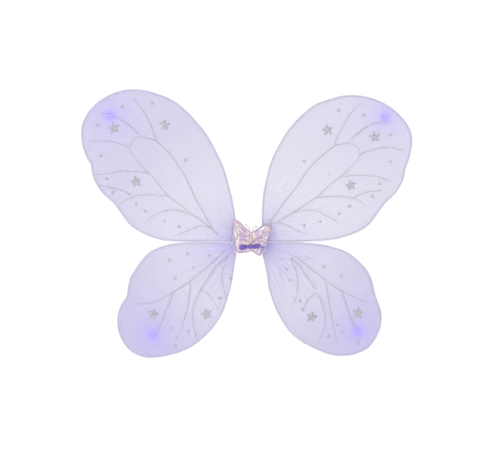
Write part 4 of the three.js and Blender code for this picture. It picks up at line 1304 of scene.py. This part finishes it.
# %% Bow loops, knot and tail
RIBBON_THICKNESS = 0.25 * MM
RIBBON_PLEAT = 0.45 * MM
RIBBON_CREASE = 0.22 * MM
LOOP_WIDEST = 0.62
KNOT_WRAPS = 4.5
TAIL_IN_KNOT = 3.5 * MM


def ribbon_loop(name, node_name, side, tilt, points_down):
    low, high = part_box(node_name)
    inner_x = high.x if side < 0 else low.x
    reach = high.x - low.x
    centre = (low + high) / 2
    half_height = (high.z - low.z) / 2
    depth = (high.y - low.y) / 2 - RIBBON_THICKNESS
    bm = bmesh.new()
    bmesh.ops.create_grid(bm, x_segments=56, y_segments=20, size=1.0)
    fold_shade_layer = bm.verts.layers.float.new("fold_shade")
    for v in bm.verts:
        t, across = 0.5 + 0.5 * v.co.x, v.co.y
        turn = math.tau * t
        out = 0.5 - 0.5 * math.cos(turn)
        spread = 0.66 + 0.34 * math.sin(min(1.0, out / LOOP_WIDEST) * math.pi / 2)
        spread *= 1 - 0.5 * (max(0.0, out - LOOP_WIDEST) / (1 - LOOP_WIDEST)) ** 2
        pleat = math.cos(3 * math.pi * across + side) * (1 - out) ** 0.7
        crease = math.cos(2 * math.pi * across + 4 * out + side)
        sideways = -math.sin(turn) * depth * (0.75 + 0.25 * (1 - across ** 2))
        v.co = Vector((inner_x + side * out * reach,
                       centre.y + sideways + RIBBON_PLEAT * pleat + RIBBON_CREASE * crease,
                       centre.z + across * half_height * spread
                       + (tilt * (out - 0.5) + points_down * out ** 2 * (across - 0.3)) * MM))
        # Painted shade in the sunk pleats and creases and towards the ribbon's edges.
        v[fold_shade_layer] = min(1.0, max(0.0, 0.75 * pleat + 0.35 * crease) + 0.5 * abs(across) ** 6)
    loop = finish_piece(name, bm, "root", [ribbon_satin], [node_name])
    thicken(loop, RIBBON_THICKNESS, offset=0)


ribbon_loop("satin_loop_left", "bow_loop_left", -1, -1.0, 0.6)
ribbon_loop("satin_loop_right", "bow_loop_right", 1, 2.4, -0.3)

centre, half = middle_and_half("bow_knot")
bm = bmesh.new()
bmesh.ops.create_uvsphere(bm, u_segments=48, v_segments=28, radius=1.0)
fold_shade_layer = bm.verts.layers.float.new("fold_shade")
for v in bm.verts:
    wrap = math.sin(KNOT_WRAPS * math.atan2(v.co.x, -v.co.y) + 1.4 * v.co.z)
    # Painted shade in the sunk turns of the wrap.
    v[fold_shade_layer] = 0.65 * max(0.0, -wrap)
    squarer = [math.copysign(abs(c) ** 0.8, c) for c in v.co]
    swell = 1 + 0.08 * wrap * (1 - v.co.z ** 2)
    v.co = centre + Vector((squarer[0] * half.x * swell, squarer[1] * half.y * swell, squarer[2] * half.z))
finish_piece("satin_knot", bm, "root", [ribbon_satin], ["bow_knot"])

low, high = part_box("bow_tail_right")
bm = bmesh.new()
bmesh.ops.create_grid(bm, x_segments=24, y_segments=6, size=1.0)
fold_shade_layer = bm.verts.layers.float.new("fold_shade")
for v in bm.verts:
    t, across = 0.5 + 0.5 * v.co.x, v.co.y
    swallow = 1.1 * abs(across) * max(0.0, t - 0.8) / 0.2
    v.co = Vector((low.x - TAIL_IN_KNOT + (t + 0.1 * swallow) * (high.x - low.x + TAIL_IN_KNOT),
                   high.y - 0.35 * MM - 0.3 * MM * math.sin(5 * t),
                   high.z - 0.4 * MM - t ** 1.5 * 1.6 * MM + across * 0.9 * MM * (0.6 + 0.4 * t)))
    # Painted shade in waves along the tail.
    v[fold_shade_layer] = 0.4 + 0.4 * math.sin(7 * t)
tail_piece = finish_piece("satin_tail", bm, "root", [ribbon_satin], ["bow_tail_right"])
thicken(tail_piece, RIBBON_THICKNESS)
print("bow: two loops, knot and tail")

# %% [markdown]
# ## Hub plastic and hardware materials
# The hub is moulded plastic tinted to match the mesh: a fine spark-eroded grain, slightly lighter where
# edges are handled. Screws are plated steel, the contacts spring brass, the board has solder mask and the
# switch is black nylon.

# %% Hardware materials


def solid_material(name, dark, light, worn_colour, rough, metallic=0.0, grain_scale=1400.0, depth=0.00012):
    """A material with slow colour change, fine grain and worn edges."""
    material, tree, shader = shade(name, rough)
    shader.inputs["Metallic"].default_value = metallic
    cloud = texture(tree, mottle, Scale=60.0, Contrast=1.2)
    worn = texture(tree, wear, Start=0.52, End=0.66)
    base = blend_colours(tree, cloud, dark, light)
    paint(tree, shader, worn, base, worn_colour)
    fine = texture(tree, grain, Scale=grain_scale, Detail=5.0)
    roughen(tree, shader, fine, 0.3, 0.7, rough - 0.08, rough + 0.1)
    relief(tree, shader, fine, depth, 0.6)
    return material


moulded_plastic = solid_material(
    "moulded_plastic", (0.36, 0.32, 0.62), (0.41, 0.37, 0.68), (0.50, 0.46, 0.76), 0.48)
plated_screw = solid_material(
    "plated_screw", (0.50, 0.50, 0.53), (0.60, 0.60, 0.62), (0.74, 0.74, 0.75), 0.3, 1.0, 2600.0, 0.00004)
crimped_sleeve = solid_material(
    "crimped_sleeve", (0.56, 0.57, 0.60), (0.64, 0.65, 0.67), (0.78, 0.78, 0.80), 0.34, 0.95, 1800.0, 0.00006)
spring_brass = solid_material(
    "spring_brass", (0.52, 0.40, 0.17), (0.60, 0.48, 0.23), (0.74, 0.64, 0.38), 0.32, 1.0, 2200.0, 0.00004)
cell_can = solid_material(
    "cell_can", (0.58, 0.58, 0.60), (0.66, 0.66, 0.67), (0.78, 0.78, 0.79), 0.2, 1.0, 3000.0, 0.00003)
black_nylon = solid_material(
    "black_nylon", (0.012, 0.012, 0.014), (0.02, 0.02, 0.022), (0.07, 0.07, 0.075), 0.5)
solder_mask = solid_material(
    "solder_mask", (0.008, 0.09, 0.045), (0.012, 0.13, 0.065), (0.35, 0.33, 0.2), 0.3)
print("hardware materials ready")

# %% [markdown]
# ## Softened parts
# Moulded and pressed parts have small radii on their edges, which catch the light. Each of these is a copy
# of its frame node with merged corners, flat areas joined into single faces and its sharp edges bevelled.

# %% Softened parts
SHARP_ANGLE = math.radians(40)


def softened(name, node_name, body, material, radius):
    bm = cad_copy(node_name)
    bmesh.ops.dissolve_limit(bm, angle_limit=math.radians(1), verts=bm.verts, edges=bm.edges)
    sharp = [edge for edge in bm.edges if len(edge.link_faces) == 2 and edge.calc_face_angle(0) > SHARP_ANGLE]
    bmesh.ops.bevel(bm, geom=sharp, offset=radius, offset_type="OFFSET", segments=2, profile=0.5,
                    affect="EDGES", material=-1, clamp_overlap=True)
    bmesh.ops.triangulate(bm, faces=[face for face in bm.faces if len(face.verts) > 4])
    piece = finish_piece(name, bm, body, [material], [node_name])
    piece.data.set_sharp_from_angle(angle=math.radians(35))
    return piece


SOFTENED = [
    ("moulded_back_plate", "hub_back_plate", "root", "hub_plastic", moulded_plastic, 0.3),
    ("moulded_front_plate", "hub_front_plate", "root", "hub_plastic", moulded_plastic, 0.3),
    ("moulded_housing", "rear_housing", "root", "hub_plastic", moulded_plastic, 0.35),
    ("moulded_door", "battery_door", "battery_cover", "hub_plastic", moulded_plastic, 0.25),
    ("slide_switch_case", "switch_body", "root", "black_plastic", black_nylon, 0.2),
    ("slide_switch_knob", "switch_knob", "power_switch", "black_plastic", black_nylon, 0.2),
    ("light_board", "circuit_board", "root", "circuit_board", solder_mask, 0.08),
    ("front_contact_left", "contact_front_left", "root", "contact_metal", spring_brass, 0.05),
    ("front_contact_link", "contact_front_link", "root", "contact_metal", spring_brass, 0.05),
    ("rear_contact_link", "contact_rear_link", "battery_cover", "contact_metal", spring_brass, 0.05),
    ("rear_contact_right", "contact_rear_right", "battery_cover", "contact_metal", spring_brass, 0.05),
]
SOFTENED += [(f"cell_{place}", f"button_cell_{place}", "root", "cell_steel", cell_can, 0.35)
             for place in ("left", "middle", "right")]
SOFTENED += [(f"crimp_{wing}", f"wire_ferrule_{wing}", f"{wing}_wing", "crimp_metal", crimped_sleeve, 0.15)
             for wing in WINGS]
for name, node_name, body, slot, material, radius in SOFTENED:
    softened(name, node_name, body, material, radius * MM)
print("softened", len(SOFTENED), "parts")

# %% [markdown]
# ## Screws with a cross recess
# A pan head screw is turned, then its recess is punched in. The head here is a disc of fine rings whose
# points sink where the two arms of the cross are, and the shank carries a thread of closely set rings.

# %% Screws
ARM_WIDTH = 0.3 * MM
ARM_REACH = 0.95 * MM
RECESS_DEPTH = 0.7 * MM
RECESS_BLUR = 0.08 * MM
HEAD_RINGS = 18
HEAD_CROWN = 0.25 * MM
THREAD_PITCH = 0.35 * MM
THREAD_ROOT = 0.84
AROUND = 48


def screw(name, node_name, body):
    """A screw along y with its head towards +y, as the frame's one is."""
    low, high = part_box(node_name)
    centre = (low + high) / 2
    head_radius = (high.x - low.x) / 2
    shank = [v.co for v in frame["nodes"][node_name].data.vertices if v.co.y < low.y + 0.1 * MM]
    shank_radius = max(math.hypot(p.x - centre.x, p.z - centre.z) for p in shank)
    wide = [v.co.y for v in frame["nodes"][node_name].data.vertices
            if math.hypot(v.co.x - centre.x, v.co.z - centre.z) > 0.97 * head_radius]
    head_base = min(wide)
    top = high.y
    rings = [(head_radius * k / HEAD_RINGS, top - HEAD_CROWN * (k / HEAD_RINGS) ** 4)
             for k in range(1, HEAD_RINGS + 1)]
    rings += [(head_radius, (top - HEAD_CROWN + head_base) / 2), (head_radius, head_base + 0.05 * MM),
              (head_radius - 0.1 * MM, head_base), (shank_radius, head_base)]
    turns = int((head_base - low.y - 0.6 * MM) / THREAD_PITCH)
    for k in range(2 * turns):
        rings.append((shank_radius * (THREAD_ROOT if k % 2 else 1.0),
                      head_base - 0.15 * MM - k * THREAD_PITCH / 2))
    rings.append((shank_radius * 0.5, low.y))
    bm = bmesh.new()
    made = []
    for radius, height in rings:
        ring = []
        for k in range(AROUND):
            a, b = radius * math.cos(math.tau * k / AROUND), radius * math.sin(math.tau * k / AROUND)
            sunk = 0.0
            if height > head_base + 0.3 * MM and radius < 0.9 * head_radius:
                for along, across in ((a, b), (b, a)):
                    inside = min(1.0, max(0.0, (ARM_WIDTH + RECESS_BLUR - abs(across)) / (2 * RECESS_BLUR)))
                    inside *= min(1.0, max(0.0, (ARM_REACH - abs(along)) / (0.2 * MM)))
                    sunk = max(sunk, inside * (RECESS_DEPTH - 0.35 * abs(along)))
            ring.append(bm.verts.new((centre.x + a, height - sunk, centre.z + b)))
        made.append(ring)
    for inner_ring, outer_ring in zip(made, made[1:]):
        for k in range(AROUND):
            bm.faces.new((inner_ring[k], inner_ring[k - 1], outer_ring[k - 1], outer_ring[k]))
    bm.faces.new(made[-1])
    hollow = bm.verts.new((centre.x, top - RECESS_DEPTH, centre.z))
    for k in range(AROUND):
        bm.faces.new((made[0][k - 1], made[0][k], hollow))
    bmesh.ops.recalc_face_normals(bm, faces=bm.faces)
    piece = finish_piece(name, bm, body, [plated_screw], [node_name])
    piece.data.set_sharp_from_angle(angle=SHARP_ANGLE)


for height in ("upper", "lower"):
    for side in ("left", "right"):
        screw(f"cross_screw_{height}_{side}", f"hub_screw_{height}_{side}", "root")
screw("cross_screw_door", "door_screw", "battery_cover")
print("five screws turned")

# %% [markdown]
# ## Root lights and their leads
# Two more lights sit inside the hub, one at each side, and shine out along the lower wings.

# %% Root lights and leads
COLLAR = 1.12
HUB_WIRE_RADIUS = 0.38 * MM
for side, sign in (("left", -1), ("right", 1)):
    low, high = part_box(f"root_led_{side}")
    base = Vector((low.x if sign > 0 else high.x, (low.y + high.y) / 2, (low.z + high.z) / 2))
    bm = bulb_mesh(base, Vector((sign, 0, 0)), (high.y - low.y) / 2 / COLLAR, high.x - low.x)
    finish_piece(f"root_light_{side}", bm, "root", [violet_lens], [f"root_led_{side}"])
    line = smooth_line(centre_line(f"hub_lead_{side}"), 3)
    bm = swept_mesh([line], HUB_WIRE_RADIUS, sides=10)
    finish_piece(f"hub_wire_{side}", bm, "root", [lead_jacket], [f"hub_lead_{side}"])
print("root lights placed")

# %% [markdown]
# ## Elastic straps
# The straps are flat woven elastic, sewn into rings. The band has cords along it and fine ribs across it,
# a little fuzz, and a sewn overlap where the ring is closed. The band follows the frame's ring.

# %% Elastic material
RIB_TURN_PER_MM = 7.5
woven_elastic, tree, shader = shade("woven_elastic", 0.8, Sheen_Weight=0.4)
along = attribute(tree, "along")
ribs = maths(tree, "SINE", maths(tree, "MULTIPLY", along, RIB_TURN_PER_MM))
rib_height = remap(tree, ribs, -1.0, 1.0, 0.0, 1.0)
cloud = texture(tree, mottle, Scale=150.0, Contrast=1.5)
yarn_colour = blend_colours(tree, cloud, (0.74, 0.72, 0.84), (0.80, 0.79, 0.88))
# Painted shade: the band is darker in the grooves between its ribs.
paint(tree, shader, rib_height, (0.58, 0.56, 0.70), yarn_colour)
fuzz = texture(tree, grain, Scale=3000.0, Detail=6.0)
relief(tree, shader, maths(tree, "ADD", rib_height, fuzz), 0.00015, 0.8)

# %% Straps
BAND_THICKNESS = 1.0 * MM
CORDS = 10
CORD_DEPTH = 0.18
STITCH_RADIUS = 0.22 * MM
STITCH_STEP = 0.5 * MM


def strap_line(name):
    """The strap ring's middle line, in the plane of the ring."""
    bm = cad_copy(name)
    away = [face for face in bm.faces if face.normal.x > -0.9]
    bmesh.ops.delete(bm, geom=away, context="FACES")
    loops = []
    loose = {edge for edge in bm.edges if len(edge.link_faces) == 1}
    while loose:
        edge = loose.pop()
        loop = [edge.verts[0], edge.verts[1]]
        while True:
            following = [e for e in loop[-1].link_edges if e in loose]
            if not following:
                break
            loose.discard(following[0])
            loop.append(following[0].other_vert(loop[-1]))
        loops.append([v.co.copy() for v in loop[:-1]])
    bm.free()
    outer, inner = sorted(loops, key=lambda loop: -sum((a - b).length for a, b in zip(loop, loop[1:])))
    return [p.lerp(min(inner, key=lambda q: (q - p).length), 0.5) for p in outer]


def band_mesh(line, centre_x, width):
    """A flat band along a closed line, its faces ridged by its cords."""
    bm = bmesh.new()
    layer = bm.verts.layers.float.new("along")
    profile = []
    steps = 40
    for face_side in (1, -1):
        for k in range(steps + 1):
            t = -1 + 2 * k / steps
            edge_round = (1 - abs(t) ** 12) ** 0.5
            ridge = 1 - CORD_DEPTH + CORD_DEPTH * abs(math.cos(CORDS / 2 * math.pi * t))
            profile.append((face_side * t * width / 2, face_side * BAND_THICKNESS / 2 * ridge * edge_round))
    profile = [p for i, p in enumerate(profile) if i not in (steps, 2 * steps + 1)]
    count = len(line)
    rings, distance = [], 0.0
    for i in range(count):
        heading = (line[(i + 1) % count] - line[i - 1]).normalized()
        across = Vector((0, -heading.z, heading.y))
        middle = Vector((centre_x, line[i].y, line[i].z))
        ring = [bm.verts.new(middle + Vector((a, 0, 0)) + across * b) for a, b in profile]
        for v in ring:
            v[layer] = distance / MM
        rings.append(ring)
        distance += (line[(i + 1) % count] - line[i]).length
    for i in range(count):
        for k in range(len(profile)):
            bm.faces.new((rings[i - 1][k - 1], rings[i - 1][k], rings[i][k], rings[i][k - 1]))
    bmesh.ops.recalc_face_normals(bm, faces=bm.faces)
    return bm


for side in ("left", "right"):
    node_name = f"strap_{side}"
    low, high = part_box(node_name)
    line = even_line(smooth_line(strap_line(node_name), 3, closed=True), 1.6 * MM)
    bm = band_mesh(line[:-1], (low.x + high.x) / 2, high.x - low.x)
    finish_piece(f"elastic_strap_{side}", bm, "root", [woven_elastic], [node_name])
    far = max(range(len(line)), key=lambda i: line[i].y + 0.3 * line[i].z)
    stitches = bmesh.new()
    for row in (-2, 2):
        for k in range(-5, 6):
            i = (far + row * 2) % (len(line) - 1)
            heading = (line[i + 1] - line[i - 1]).normalized()
            outward = Vector((0, heading.z, -heading.y))
            if outward.dot(line[i] - Vector((line[i].x, 60 * MM, 0))) < 0:
                outward = -outward
            for face_side in (1, -1):
                bead = bmesh.ops.create_uvsphere(stitches, u_segments=8, v_segments=6, radius=STITCH_RADIUS)
                for v in bead["verts"]:
                    v.co = Vector((v.co.x * 1.1, v.co.y * 0.7, v.co.z * 0.7))
                    v.co += line[i] + Vector(((low.x + high.x) / 2 - line[i].x + k * STITCH_STEP, 0, 0))
                    v.co += face_side * outward * BAND_THICKNESS / 2
    finish_piece(f"strap_stitches_{side}", stitches, "root", [woven_elastic])
print("straps woven and sewn")

# %% Finish
size = {"cad": [list(corner) for corner in cad_bounds], "visual": [list(c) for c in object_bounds()]}
